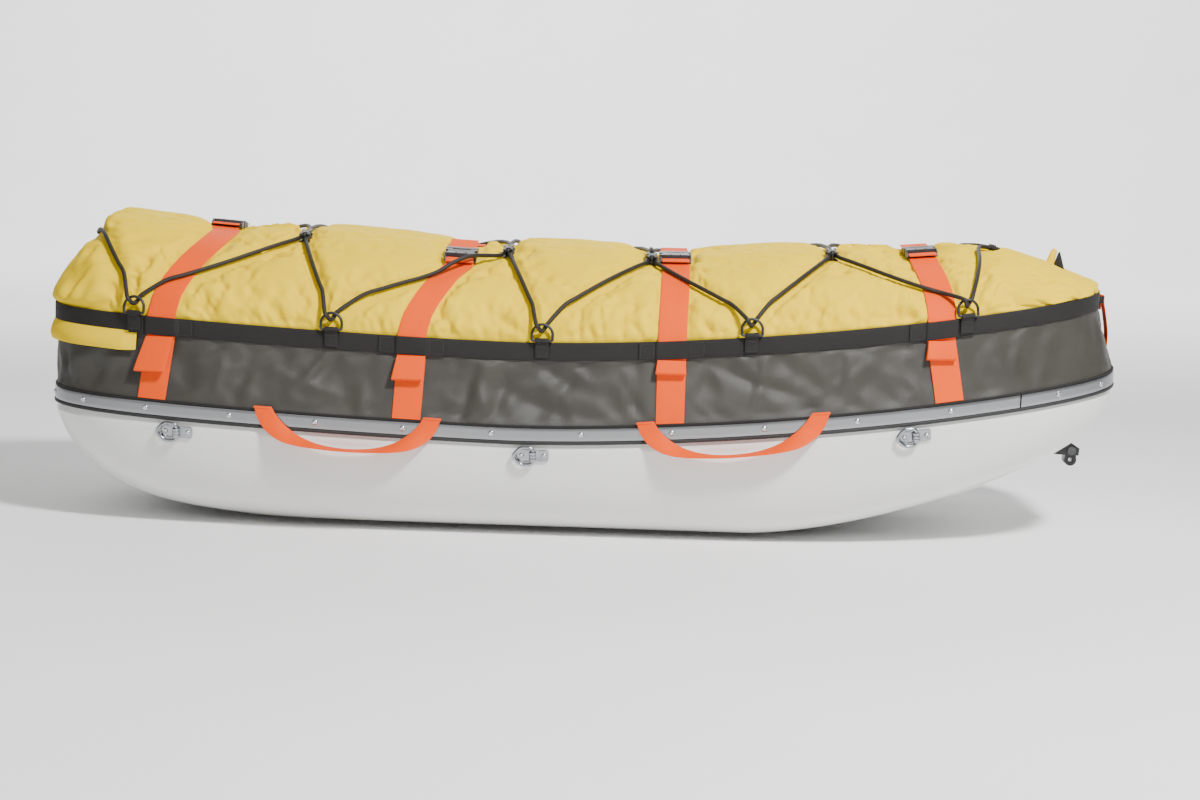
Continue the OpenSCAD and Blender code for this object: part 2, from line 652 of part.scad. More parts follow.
// Folded end of each strap: flat at its top under the keeper, with a round bend at its foot
flap_thick = 7;
flap_top = 2 * strap_t + 0.4;
module flap(h) {
  r = flap_thick / 2;
  translate([-strap_w / 2, 0, 0]) rotate([90, 0, 90]) linear_extrude(height = strap_w) difference() {
    union() {
      translate([r, r - h]) circle(r = r, $fn = round_n);
      polygon([[0, r - h], [0, 0], [flap_top, 0], [flap_thick, r - h]]);
    }
    translate([r, r - h]) circle(r = r - strap_t, $fn = round_n);
    polygon([[strap_t, r - h], [strap_t, -h / 3], [flap_thick - strap_t, r - h]]);
  }
}
module strap_flaps() {
  color("#f97a45") both_sides() for (k = [0 : 3]) {
    x = straps[k][1];
    rise = abs(web_z(x + strap_w / 2) - web_z(x));
    at_web(x, -web_h / 2 - fit - 0.8 - rise) translate([0, web_out + strap_t + 2 * fit, 0])
      rotate([lean, 0, 0]) flap(flap_drops[k]);
  }
}
// Lean of the skirt's sides
lean = atan(skirt_in_side / (skirt_h - web_h / 2 - band_h / 2));

// Lacing

tab_t = 1.5;
// Place of a cord ring's straight side: outward from the skirt's inner face, and above the webbing
function ring_d(i) = web_out + fit + ring_wire / 2 + fit + tab_t + ring_over[i] * (strap_t + fit);
ring_up = 3;
ring_reach = 23;
module ring_tab(d) {
  eye = ring_wire / 2 + fit;
  rotate([90, 0, 90]) translate([0, 0, -tab_w / 2]) linear_extrude(height = tab_w) difference() {
    union() {
      translate([d, ring_up]) circle(r = eye + tab_t, $fn = round_n);
      translate([d - eye - tab_t, -web_h + 4]) square([2 * tab_t, web_h - 4 + ring_up]);
    }
    translate([d, ring_up]) circle(r = eye, $fn = round_n);
  }
}
module ring_tabs() {
  color("#1f1d1b") both_sides() for (i = [0 : 4]) at_web(ring_x[i], web_h / 2) ring_tab(ring_d(i));
}
// Ring with a straight side along X and a round side towards Z
module d_ring(w, reach, wire) {
  r = w / 2;
  rotate([0, 90, 0]) translate([0, 0, -r]) cylinder(d = wire, h = w, $fn = 24);
  for (s = [-1, 1]) {
    translate([s * r, 0, 0]) sphere(d = wire, $fn = 24);
    translate([s * r, 0, 0]) cylinder(d = wire, h = reach - r, $fn = 24);
  }
  translate([0, 0, reach - r]) rotate([90, 0, 0]) rotate_extrude(angle = 180, $fn = 48)
    translate([r, 0]) circle(d = wire, $fn = 24);
}
module cord_rings() {
  color("#1b1b1b") both_sides() for (i = [0 : 4]) at_web(ring_x[i], web_h / 2)
    translate([0, ring_d(i), ring_up]) rotate([ring_lean, 0, 0]) d_ring(ring_w, ring_reach, ring_wire);
}

// Middle line of the cord over the cover
cord_h = strap_lift + strap_t + 0.9 + cord_d / 2;
bump_h = buckle_h + 3;
// Reach of the cord's rise over each buckle: middle and half length across the sled
rise_over = [[8, 58], [-14, 84], [13, 52], [8, 58]];
function near(x, y, k) = let (f = buckle_frames[k], r = rise_over[k])
  clamp1(1.6 - 1.6 * norm([(x - f[0].x) / 52, (y - f[0].y - r[0]) / r[1]]));
function bump(x, y) = bump_h * max(near(x, y, 0), near(x, y, 1), near(x, y, 2), near(x, y, 3));
function cord_pt(x, a, k) = let (p = cover_pt(x, a, k, 0)) p + (cord_h + bump(x, p.y)) * cover_n(x, p.y);
// Point in the frame of a cord ring on side k
function ring_pt(x, k, dx, d, z) =
  let (u = u_x(top_o, x), p = on(top_o, u), n = unit(on(top_o, u, 1) - p), e = [-n.y, n.x],
    q = p + dx * e + d * n)
  [q.x, -k * q.y, web_top(x) + z];
leg_a = 19;
// Height of a point at angle a over the webbing, as seen from a little above the right side
seen_ring = 0.02;
function seen(a) = pow(1 - pow(abs(cos(a)), 2.2), 0.55) - 0.28 * cos(a);
// A leg from ring to clip: x follows that height, so that the leg looks straight from the side
function leg(x0, x1, a1, k) = let (leg_n = k < 0 ? 9 : 13) [for (j = [1 : leg_n])
  let (a = mix(leg_a, a1, 0.92 * j / leg_n), f = (seen(a) - seen_ring) / (seen(a1) - seen_ring))
  cord_pt(mix(x0, x1, f), a, k)];
function rev(l) = [for (i = [len(l) - 1 : -1 : 0]) l[i]];
function clip_a(k) = let (h = cover_half(0)) acos((k < 0 ? -clip_y + 6 : clip_y + 6) / h);
// Cord through a ring, in front of the wire on one side and behind it on the other
// Each row is a place along the webbing, a distance from the ring's plane and a height
ring_path = [[-9, 5.6, 24], [-5, 5.3, 18], [-1.5, 0, 13.5], [3, -5.4, 17], [8, -6.5, 25]];
function ring_pass(i, k) = [for (q = ring_path)
  ring_pt(ring_x[i], k, q[0], ring_d(i) - q[2] * tan(ring_lean) + q[1], ring_up + q[2])];
post_gap = 12;
clip_arc_r = 6.9;
function clip_frame(x) =
  let (n = unit([-(cover_z(x + 8, clip_y) - cover_z(x - 8, clip_y)) / 16,
      -(cover_z(x, clip_y + 10) - cover_z(x, clip_y - 10)) / 20, 1]), ex = unit(cross([0, 1, 0], n)))
  [[x, clip_y, cover_z(x, clip_y)] + (cord_h + bump(x, clip_y)) * n, ex, cross(n, ex), n];
function clip_pass(x, k) = [for (a = [-62, 0, 62])
  from_frame(clip_frame(x), [clip_arc_r * sin(a), k * (post_gap - clip_arc_r * cos(a)), 0])];
stern_cord_x = top_stern + 40;
end_x = 596;
function end_pts(k) = [for (q = [[-22, 26], [-8, 11], [6, 8]])
  [end_x + q[0], k * q[1], cover_z(end_x + q[0], k * q[1]) + cord_h]];
function side_pts(k) = let (a = clip_a(k), top_a = 80) concat(
  rev(leg(ring_x[0] - 9, stern_cord_x, top_a, k)),
  ring_pass(0, k),
  [for (i = [0 : 3]) each concat(
    leg(ring_x[i] + 9, clip_x[i], a, k),
    clip_pass(clip_x[i], k),
    rev(leg(ring_x[i + 1] - 9, clip_x[i], a, k)),
    ring_pass(i + 1, k))],
  leg(ring_x[4] + 9, end_x - 30, 76, k),
  end_pts(k));
cord_line = concat(rev(side_pts(-1)), [cord_pt(stern_cord_x, 90, 1)], side_pts(1));
cord_sides = 8;
function tube(line, r) = [for (i = [0 : len(line) - 1])
  let (t = unit(line[min(i + 1, len(line) - 1)] - line[max(i - 1, 0)]),
    a = unit(cross(t, [0, 0.2, 1])), b = cross(a, t))
  [for (j = [0 : cord_sides - 1]) let (q = j * 360 / cord_sides) line[i] + r * (cos(q) * a + sin(q) * b)]];
module bungee_cord() {
  color("#171615") sweep(tube(cord_line, cord_d / 2));
}

// Clip that holds the two sides of the lacing together at its peaks
clip_t = 2;
post_d = 4;
// Gap between the cord and each plate of a clip
clip_play = 1.5;
module cord_clips() {
  w = 15;
  l = 2 * post_gap + 8;
  low = -cord_d / 2 - clip_play - clip_t;
  color("#1b1b1b") for (x = clip_x) at_frame(clip_frame(x)) {
    for (z = [low, cord_d / 2 + clip_play]) translate([-w / 2, -l / 2, z]) cube([w, l, clip_t]);
    for (s = [-1, 1]) translate([0, s * post_gap, low]) cylinder(d = post_d, h = -2 * low, $fn = round_n);
  }
}

// End of the lacing: knots against a flat loop on a webbing tab
function end_dir(k) = let (m = len(cord_line) - 1)
  unit(cord_line[k < 0 ? 1 : m - 1] - cord_line[k < 0 ? 0 : m]);
function end_pt(k) = cord_line[k < 0 ? 0 : len(cord_line) - 1];
knot_l = 9;
module cord_knots() {
  color("#171615") for (k = [-1, 1]) {
    d = end_dir(k);
    a = unit(cross(d, [0, 0, 1]));
    at_frame([end_pt(k) + d * 1, a, cross(d, a), d]) difference() {
      cylinder(d = cord_d + 5, h = knot_l, $fn = round_n);
      translate([0, 0, -1]) cylinder(d = cord_d + 2 * fit, h = knot_l + 2, $fn = round_n);
    }
  }
}
loop_x = end_x + 9;
module cord_end_loop() {
  slope = atan((cover_z(loop_x + 26, 0) - cover_z(loop_x, 0)) / 26);
  color("#1b1b1b") translate([loop_x, 0, cover_z(loop_x, 0) + 2]) rotate([0, -slope, 0]) {
    difference() {
      translate([0, -17, -2]) cube([24, 34, 4]);
      translate([4, -13, -3]) cube([12, 26, 6]);
    }
    translate([24, -10, -1]) cube([26, 20, 2]);
  }
}

// Cover

cover_rs = [1, 0.985, 0.95, 0.88, 0.76, 0.6, 0.42, 0.24, 0.08];
function cover_ring(r, t, shift = 0) = [for (u = soft_us)
  let (e = (1 - r) * cover_o[2], x = cover_o[0] + (cover_o[1] - e) * u.x, y = (cover_o[2] - e) * u.y)
  [x - t * sign(u.x) * abs(u.x), y - t * u.y, cover_z(x, y) - t - shift]];
cover_hem = 20;
function hem_ring(t, dz) = [for (u = soft_us)
  let (x = cover_o[0] + cover_o[1] * u.x, y = cover_o[2] * u.y)
  [x - t * u.x, y - t * u.y, web_top(x) + dz]];
module cover() {
  color("#f2da33") stack(concat(
    [for (i = [len(cover_rs) - 1 : -1 : 0]) cover_ring(cover_rs[i], cover_t)],
    [hem_ring(cover_t, -cover_hem), hem_ring(0, -cover_hem)],
    [for (r = cover_rs) cover_ring(r, 0)]));
}
// Strip of the cover that hangs outside below the webbing round the stern
stern_flap_s = 0.089;
module cover_stern_flap() {
  s = [for (i = [0 : 28]) mix(0.5 - stern_flap_s, 0.5 + stern_flap_s, i / 28)];
  color("#f2da33") sweep([for (q = s) let (b = 1 - pow(abs(q - 0.5) / stern_flap_s, 4))
    let (u = u_at(q), z = -web_h / 2 - fit, n = unit(on(top_o, u, 1) - on(top_o, u)),
      d = skirt_t + 2.2 + flap_h * tan(lean) * abs(n.y),
      p = top_box(u, skirt_t + 1.6, skirt_t + 3.6, z - flap_h, z),
      o = top_box(u, d + 1 + 2 * b, d + 3.5 + 3 * b, z - flap_h, 0))
    [o[0], p[1], p[2], o[3]]]);
}
// Line just over the cover along its middle
function tab_foot(x0, x1) = [for (i = [0 : 4]) let (x = mix(x0, x1, i / 4)) [x, cover_z(x, 0) + 0.5]];
// Upright pull tab at the bow end of the cover's opening
tab_x = 672;
module cover_bow_tab() {
  z = cover_z(tab_x + 12, 0);
  color("#e9d02c") translate([0, 4, 0]) rotate([90, 0, 0]) linear_extrude(height = 8)
    polygon(concat(tab_foot(tab_x, tab_x + 14), [[tab_x + 25, z + 34], [tab_x + 14, z + 36]]));
  color("#191817") translate([0, 1.5, 0]) rotate([90, 0, 0]) linear_extrude(height = 3)
    polygon(concat(tab_foot(tab_x + 14.4, tab_x + 38), [[tab_x + 26, z + 30]]));
}
// Packed load that fills the sled and holds the cover up
module load() {
  inner = cover_t + 1.5;
  floor_ring = [for (u = soft_us) let (p = on([floor_o[0], floor_o[1] - 30, floor_o[2] - 14], u))
    lift(p, floor_z(p.x) + hull_t + fit)];
  bilge = [for (u = soft_us) let (p = on([bilge_o[0], bilge_o[1] - 40, bilge_o[2] - 18], u))
    lift(p, max(floor_z(p.x) + hull_t + 26, mix(floor_z(p.x), rim_z(p.x), 0.35)))];
  waist_ring = [for (u = soft_us) let (p = on([rim_o[0], rim_o[1] - 24, rim_o[2] - 16], u))
    lift(p, rim_z(p.x))];
  neck = [for (u = soft_us) let (p = on(top_o, u, -12)) lift(p, web_z(p.x) - 6)];
  color("#8f8a80") stack(concat(
    [for (i = [len(cover_rs) - 1 : -1 : 0]) cover_ring(cover_rs[i], inner, 2.5)],
    [neck, waist_ring, bilge, floor_ring]));
}

// Handles

// Stations of half a handle: share of the half span, height over the rim line as a share, twist
handle_st = [[1, 0, 0], [0.96, 0.2, 0], [0.88, 0.45, 12], [0.74, 0.68, 40], [0.55, 0.85, 68],
  [0.3, 0.96, 85], [0, 1, 90]];
hem_z = strap_foot + hem_d / 2 + 0.4;
hem_off = band_out + 0.6;
function handle_mid(h, s, q) =
  let (x = mix(h[0], h[1], (1 + s * q[0]) / 2), z = mix(hem_z, -handle_drop, q[1]),
    d = max(hem_off + 2.3 * min(1, q[1] / 0.2), band_out + 2.2 + handle_w / 2 * sin(q[2])),
    p = on(rim_o, u_x(rim_o, x), d))
  [p.x, p.y, rim_z(x) + z];
function handle_line(h) = concat(
  [for (q = handle_st) handle_mid(h, -1, q)],
  [for (i = [len(handle_st) - 2 : -1 : 0]) handle_mid(h, 1, handle_st[i])]);
handle_twists = concat([for (q = handle_st) q[2]],
  [for (i = [len(handle_st) - 2 : -1 : 0]) handle_st[i][2]]);
// Half of the rolled hem: height over its middle, and thickness
hem_st = [[hem_d / 2, 0.5 * hem_d], [0.35 * hem_d, 0.85 * hem_d], [0, hem_d], [-0.35 * hem_d, 0.85 * hem_d],
  [-hem_d / 2, 0.5 * hem_d]];
function ribbon_sec(c, w, k, t) = let (a = w * handle_w / 2, b = k * t / 2)
  [c - a - b, c - a + b, c + a + b, c + a - b];
// The webbing turns from flat against the rim to edge on and back
function handle_secs(h) =
  let (l = handle_line(h), m = len(l) - 1, e = unit(l[m] - l[0]), n = unit([e.y, -e.x, 0])) concat(
    [for (q = hem_st) ribbon_sec(l[0] + [0, 0, q[0]], -e, n, q[1])],
    [for (i = [1 : m - 1])
      let (t = unit(l[i + 1] - l[i - 1]), flat = unit(cross(t, n)), a = handle_twists[i],
        w = cos(a) * flat + sin(a) * n)
      ribbon_sec(l[i], w, unit(cross(w, t)), strap_t)],
    [for (i = [len(hem_st) - 1 : -1 : 0]) ribbon_sec(l[m] + [0, 0, hem_st[i][0]], e, n, hem_st[i][1])]);
module handle(h) {
  color("#f97a45") sweep(handle_secs(h));
}

// Lash eyes

knuckle_d = 10;
knuckle_l = 13;
hinge_y = plate_gap + plate_t + lash_wire / 2 + 0.8;
module lash_plates() {
  color("#b9bcbe") both_sides() for (f = lash_frames) at_frame(f) difference() {
    union() {
      translate([-plate_l / 2, plate_gap, -plate_h / 2]) cube([plate_l, plate_t, plate_h]);
      translate([0, hinge_y, -knuckle_l / 2]) cylinder(d = knuckle_d, h = knuckle_l, $fn = round_n);
      translate([-knuckle_d / 2, plate_gap + plate_t / 2, -knuckle_l / 2])
        cube([knuckle_d, hinge_y - plate_gap - plate_t / 2, knuckle_l]);
    }
    translate([0, hinge_y, -knuckle_l / 2 - 1])
      cylinder(d = lash_wire + 2 * hinge_fit, h = knuckle_l + 2, $fn = round_n);
    for (s = [-1, 1]) translate([s * plate_screw_x, plate_gap + plate_t + 1, 0]) rotate([90, 0, 0])
      cylinder(d = screw_d + 2 * fit, h = plate_t + 2, $fn = round_n);
  }
}
module lash_screws() {
  color("#d5d6d8") both_sides() for (f = lash_frames) at_frame(f) for (s = [-1, 1])
    translate([s * plate_screw_x, plate_gap + plate_t, 0]) rotate([-90, 0, 0]) {
      cylinder(d1 = 7, d2 = 4.5, h = 2, $fn = round_n);
      translate([0, 0, -plate_t - plate_gap - hull_t - 1])
        cylinder(d = screw_d, h = plate_t + plate_gap + hull_t + 1, $fn = round_n);
    }
}
module lash_ring(k) {
  color("#c9ccce") at_frame(lash_frames[k]) translate([0, hinge_y, 0]) rotate([0, -90, 0])
    d_ring(lash_w, lash_reach, lash_wire);
}

// Bow

handle_bow_w = 25;
loop_wall = 2;
top_loop_x = top_bow + web_out + fit;
top_loop_reach = 17;
top_loop_z = web_z(top_bow) - 12;
top_loop_h = 10;
loop_half = handle_bow_w / 2 + 4.5;
side_loop_z = rim_z(hull_l / 2) + 36;
function bow_skirt_x(z) = let (a = rim_o[1] + skirt_out, b = top_bow + skirt_t,
  za = rim_z(rim_o[1]) + band_h / 2, zb = web_z(top_bow) - web_h / 2)
  mix(a, b, clamp1((z - za) / (zb - za)));
module bow_webbing() {
  color("#1d1b19") {
    translate([top_loop_x, 0, top_loop_z]) linear_extrude(height = top_loop_h) difference() {
      translate([0, -loop_half]) square([top_loop_reach, 2 * loop_half]);
      translate([loop_wall, -loop_half + loop_wall])
        square([top_loop_reach - 2 * loop_wall, 2 * loop_half - 2 * loop_wall]);
    }
    translate([bow_skirt_x(side_loop_z) - 0.9, handle_bow_w / 2 + 14, side_loop_z])
      rotate([0, 0, -90]) web_loop(9, 22, 2, 20);
  }
}
module bow_handle() {
  bar = top_loop_x + top_loop_reach - loop_wall / 2;
  gap = loop_wall / 2 + 2 * fit + strap_t / 2;
  top = top_loop_z + top_loop_h + 2 * fit + strap_t / 2;
  foot = rim_z(rim_o[1]) + strap_foot;
  line = [[rim_o[1] + skirt_out + 2.2, foot], [rim_o[1] + 5, foot + 18], [rim_o[1] + 5, foot + 42],
    [bar + gap + 3, top_loop_z - 14], [bar + gap, top_loop_z], [bar + gap, top - 2], [bar + gap - 1.2, top],
    [bar - gap + 1.2, top], [bar - gap, top - 2], [bar - gap, top_loop_z - 10]];
  m = len(line) - 1;
  w = handle_bow_w / 2;
  color("#f97a45") sweep([for (i = [0 : m])
    let (t = unit(line[min(i + 1, m)] - line[max(i - 1, 0)]), n = [t.y, -t.x] * strap_t / 2,
      a = line[i] - n, b = line[i] + n)
    [[a.x, -w, a.y], [b.x, -w, b.y], [b.x, w, b.y], [a.x, w, a.y]]]);
}

// Tow fitting

slope_from = tow_x - 30;
slope_to = tow_x + 20;
tow_slope = atan((floor_z(slope_to) - floor_z(slope_from)) / (slope_to - slope_from));
slope_l = norm([slope_to - slope_from, floor_z(slope_to) - floor_z(slope_from)]);
base_t = 4;
cheek_y = tow_link_w / 2 + fit;
pin_at = [tow_x + 33, floor_z(tow_x) - 17];
base_w = 2 * (cheek_y + cheek_t) + 10;
module cheek_profile() {
  polygon([[slope_from + 6, floor_z(slope_from + 6) - base_t - 1],
    [slope_to - 2, floor_z(slope_to - 2) - base_t - 1], [pin_at.x + 12, pin_at.y + 4],
    [pin_at.x + 11, pin_at.y - 7], [pin_at.x - 22, pin_at.y - 6]]);
}
stay_bar = [pin_at.x - 17, pin_at.y + 2];
stay_bar_d = 6;
module tow_bracket() {
  color("#161616") difference() {
    union() {
      translate([slope_from, -base_w / 2, floor_z(slope_from) - fit]) rotate([0, -tow_slope, 0])
        translate([0, 0, -base_t - 0.2]) cube([slope_l, base_w, base_t]);
      for (y = [-cheek_y - cheek_t, cheek_y]) {
        translate([0, y + cheek_t, 0]) rotate([90, 0, 0]) linear_extrude(height = cheek_t) cheek_profile();
      }
      translate([stay_bar.x, cheek_y + 1, stay_bar.y]) rotate([90, 0, 0])
        cylinder(d = stay_bar_d, h = 2 * cheek_y + 2, $fn = round_n);
    }
    translate([pin_at.x, base_w / 2 + 1, pin_at.y]) rotate([90, 0, 0])
      cylinder(d = tow_pin_d + 2 * fit, h = base_w + 2, $fn = round_n);
  }
}
pin_l = 2 * (cheek_y + cheek_t + fit);
module tow_pin() {
  color("#8d8f92") translate([pin_at.x, pin_l / 2, pin_at.y]) rotate([90, 0, 0]) {
    cylinder(d = tow_pin_d, h = pin_l, $fn = round_n);
    translate([0, 0, -2]) cylinder(d = tow_pin_d + 5, h = 2, $fn = round_n);
    translate([0, 0, pin_l]) cylinder(d = tow_pin_d + 5, h = 2, $fn = round_n);
  }
}
link_r = tow_pin_d / 2 + hinge_fit + 4;
eye_drop = tow_pin_d / 2 + tow_eye_d / 2 + 7;
module tow_link() {
  eye_r = tow_eye_d / 2 + 5.5;
  color("#1a1a1a") translate([pin_at.x, tow_link_w / 2, pin_at.y]) rotate([90, 0, 0]) difference() {
    union() {
      cylinder(r = link_r, h = tow_link_w, $fn = round_n);
      translate([0, -eye_drop, 0]) cylinder(r = eye_r, h = tow_link_w, $fn = round_n);
      translate([-link_r, -eye_drop, 0]) cube([2 * link_r, eye_drop, tow_link_w]);
    }
    translate([0, 0, -1]) cylinder(d = tow_pin_d + 2 * hinge_fit, h = tow_link_w + 2, $fn = round_n);
    translate([0, -eye_drop, -1]) cylinder(d = tow_eye_d, h = tow_link_w + 2, $fn = round_n);
  }
}
module tow_stay() {
  x0 = slope_from - 16;
  x1 = slope_from + 2;
  line = [[x0, floor_z(x0) - 1.6], [x0 + 6, floor_z(x0 + 6) - 2.2], [x1, floor_z(x1) - base_t - 5],
    [stay_bar.x - stay_bar_d / 2 - 1 - fit, stay_bar.y - 1]];
  m = len(line) - 1;
  w = 10;
  color("#171615") sweep([for (i = [0 : m])
    let (t = unit(line[min(i + 1, m)] - line[max(i - 1, 0)]), n = [t.y, -t.x] * 1,
      a = line[i] - n, b = line[i] + n)
    [[a.x, -w, a.y], [b.x, -w, b.y], [b.x, w, b.y], [a.x, w, a.y]]]);
}

hull_body();  // hull
runners();
rim_edge();
rim_band_right();
rim_band_left();
rim_band_bow();
rim_screws();
lash_plates();
lash_screws();
lash_ring(0);  // lash_ring_right_1
lash_ring(1);  // lash_ring_right_2
lash_ring(2);  // lash_ring_right_3
mirror([0, 1, 0]) lash_ring(0);  // lash_ring_left_1
mirror([0, 1, 0]) lash_ring(1);  // lash_ring_left_2
mirror([0, 1, 0]) lash_ring(2);  // lash_ring_left_3
skirt();
skirt_bead();
top_webbing();
strap_keepers();
ring_tabs();
cord_rings();
strap_right(0);  // strap_right_1
strap_right(1);  // strap_right_2
strap_right(2);  // strap_right_3
strap_right(3);  // strap_right_4
strap_left(0);  // strap_left_1
strap_left(1);  // strap_left_2
strap_left(2);  // strap_left_3
strap_left(3);  // strap_left_4
buckle_socket(0);  // buckle_socket_1
buckle_socket(1);  // buckle_socket_2
buckle_socket(2);  // buckle_socket_3
buckle_socket(3);  // buckle_socket_4
buckle_plug(0);  // buckle_plug_1
buckle_plug(1);  // buckle_plug_2
buckle_plug(2);  // buckle_plug_3
buckle_plug(3);  // buckle_plug_4
plug_loop(0);  // plug_loop_1
plug_loop(1);  // plug_loop_2
plug_loop(2);  // plug_loop_3
plug_loop(3);  // plug_loop_4
strap_flaps();
cover();
cover_stern_flap();
cover_bow_tab();
bungee_cord();
cord_clips();
cord_knots();
cord_end_loop();
handle(handle_x[0]);  // handle_right_1
handle(handle_x[1]);  // handle_right_2
mirror([0, 1, 0]) handle(handle_x[0]);  // handle_left_1
mirror([0, 1, 0]) handle(handle_x[1]);  // handle_left_2
bow_handle();
bow_webbing();
tow_bracket();
tow_pin();
tow_link();
tow_stay();
load();
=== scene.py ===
"""Looks of the pulk sled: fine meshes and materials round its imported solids.

Shapes repeat the formulas of the solids' source at a finer step. Lengths in the shape code are
millimetres in the frame of the solids, and every mesh is made in metres.
"""

import itertools
import math

import bmesh
import bpy
import numpy as np
from mathutils import Matrix, Vector


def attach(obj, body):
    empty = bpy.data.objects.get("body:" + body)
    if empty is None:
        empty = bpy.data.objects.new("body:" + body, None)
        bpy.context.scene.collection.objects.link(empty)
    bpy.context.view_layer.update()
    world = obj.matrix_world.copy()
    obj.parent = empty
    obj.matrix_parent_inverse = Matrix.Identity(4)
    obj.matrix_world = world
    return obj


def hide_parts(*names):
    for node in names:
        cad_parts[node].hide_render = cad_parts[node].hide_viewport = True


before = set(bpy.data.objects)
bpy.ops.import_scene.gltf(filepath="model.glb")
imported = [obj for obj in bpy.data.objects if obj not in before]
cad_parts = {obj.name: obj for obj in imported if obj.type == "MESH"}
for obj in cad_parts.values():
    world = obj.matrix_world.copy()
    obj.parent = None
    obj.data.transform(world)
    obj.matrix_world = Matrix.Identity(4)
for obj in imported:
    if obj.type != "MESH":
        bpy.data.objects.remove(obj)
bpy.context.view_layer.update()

MM = 0.001
TAU = math.tau
rng = np.random.default_rng(7)

# Driving dimensions

HULL_L, HULL_W = 1550, 560
BOW_POW, STERN_POW = 3.5, 5.5
HULL_T = 4
RIM_H, SHEER_BACK, BOW_SHEER, STERN_SHEER = 152, 100, 93, 27
BOTTOM_W, BOTTOM_BOW_IN, BOTTOM_STERN_IN = 380, 50, 200
RISE_FROM, BOW_RISE, STERN_RISE, STERN_RISE_RUN = 230, 140, 10, 170
LEDGE_H, LEDGE_OUT = 8, 2
RUNNER_W, RUNNER_H, RUNNER_Y = 46, 8, 120
BAND_H, BAND_T, EDGE_H, EDGE_PROUD = 18, 2.5, 5, 1.2
SKIRT_H, SKIRT_T = 115, 1.5
SKIRT_IN_SIDE, SKIRT_IN_BOW, SKIRT_IN_STERN = 18, 31, 3
BEAD_H, WEB_H, WEB_T = 3.5, 25, 2
STERN_CROWN, BOW_CROWN, BOW_RUN, STERN_RUN, STRAP_DIP = 122, 90, 264, 75, 9
CROWN_FROM, CROWN_TO, WAIST_L = -100, 480, 85
STRAP_W, STRAP_T, STRAP_LIFT, KEEPER_L = 40, 1.5, 2.4, 92
BUCKLE_L, BUCKLE_W, BUCKLE_H, BAR_D, BUCKLE_TRAVEL = 62, 46, 12, 4.4, 30
CORD_D, RING_WIRE, RING_W, RING_REACH, RING_UP = 6, 4, 29, 23, 3
RING_LEAN, TAB_W = math.radians(8), 19
HANDLE_W, HANDLE_DROP, HEM_D = 25, 34, 4
LASH_WIRE, LASH_W, LASH_REACH, PLATE_L, PLATE_H, PLATE_T = 5, 24, 27, 44, 17, 2
FIT = 0.3
FAR = 1e9
STRAP_TURN = 76  # degrees over the cover in which a strap reaches its place on top

SKIRT_OUT = FIT + SKIRT_T
BAND_IN = SKIRT_OUT + FIT
BAND_OUT = BAND_IN + BAND_T
EDGE_OUT = BAND_OUT + EDGE_PROUD
WEB_IN = SKIRT_T + FIT
WEB_OUT = WEB_IN + WEB_T
RIM = (0, HULL_L / 2 - EDGE_OUT, HULL_W / 2 - EDGE_OUT)
TOP_STERN, TOP_BOW = -HULL_L / 2 + SKIRT_IN_STERN, HULL_L / 2 - SKIRT_IN_BOW
TOP = ((TOP_BOW + TOP_STERN) / 2, (TOP_BOW - TOP_STERN) / 2, HULL_W / 2 - SKIRT_IN_SIDE)
FLOOR_STERN, FLOOR_BOW = -HULL_L / 2 + BOTTOM_STERN_IN, HULL_L / 2 - BOTTOM_BOW_IN
FLOOR = ((FLOOR_BOW + FLOOR_STERN) / 2, (FLOOR_BOW - FLOOR_STERN) / 2, BOTTOM_W / 2)
BILGE, BILGE_Z = (15, RIM[1] - 22, RIM[2] - 14), 12
COVER = (TOP[0], TOP[1] - FIT, TOP[2] - FIT)
# Each strap's middle at the rim, at the webbing and over the top, and its buckle's place across
STRAPS = [(-609, -597, -542, 25), (-251, -246, -182, -119), (116, 116, 122, -77), (507, 492, 479, -64)]
FLAP_DROPS = [50, 35, 20, 27]
RING_X, RING_OVER = [-634, -358, -65, 226, 526], [1, 0, 0, 0, 1]
CLIP_X, CLIP_Y = [-417, -121, 86, 348], -100
LASH_X, LASH_DROP = [-571, -73, 460], 29
HANDLE_X = [(-450, -214), (82, 326)]
BOW_SEAM, SEAM_GAP = 8 / 96, 0.0003
SIDES = ("right", "left")


def unit(v):
    v = np.asarray(v, float)
    return v / np.maximum(np.linalg.norm(v, axis=-1, keepdims=True), 1e-12)


def mix(a, b, t):
    return a + (b - a) * t


def clamp1(v):
    return np.clip(v, 0, 1)


def smooth(v):
    v = clamp1(v)
    return v * v * (3 - 2 * v)


def pts(*cols):
    return np.stack(np.broadcast_arrays(*[np.asarray(c, float) for c in cols]), -1)


# Plan outline

def plan_p(x):
    return np.where(np.asarray(x, float) < 0, STERN_POW, BOW_POW)


def plan_xy(f):
    c, s = np.cos(f), np.sin(f)
    p = plan_p(c)
    r = (np.abs(c / RIM[1]) ** p + np.abs(s / RIM[2]) ** p) ** (-1 / p)
    return pts(r * c, r * s)


PLAN_F = np.linspace(0, TAU, 2881)
_xy = plan_xy(PLAN_F)
PLAN_S = np.concatenate([[0], np.cumsum(np.linalg.norm(np.diff(_xy, axis=0), axis=1))])


def u_at(s):
    """Point of the unit outline at a share s of its arc, from the bow tip towards the left."""
    p = plan_xy(np.interp(np.mod(s, 1) * PLAN_S[-1], PLAN_S, PLAN_F))
    return p / [RIM[1], RIM[2]]


def u_half(ux):
    p = plan_p(ux)
    return np.maximum(0, 1 - np.minimum(1, np.abs(ux)) ** p) ** (1 / p)


def u_x(o, x, side=-1):
    ux = (np.asarray(x, float) - o[0]) / o[1]
    return pts(ux, side * u_half(ux))


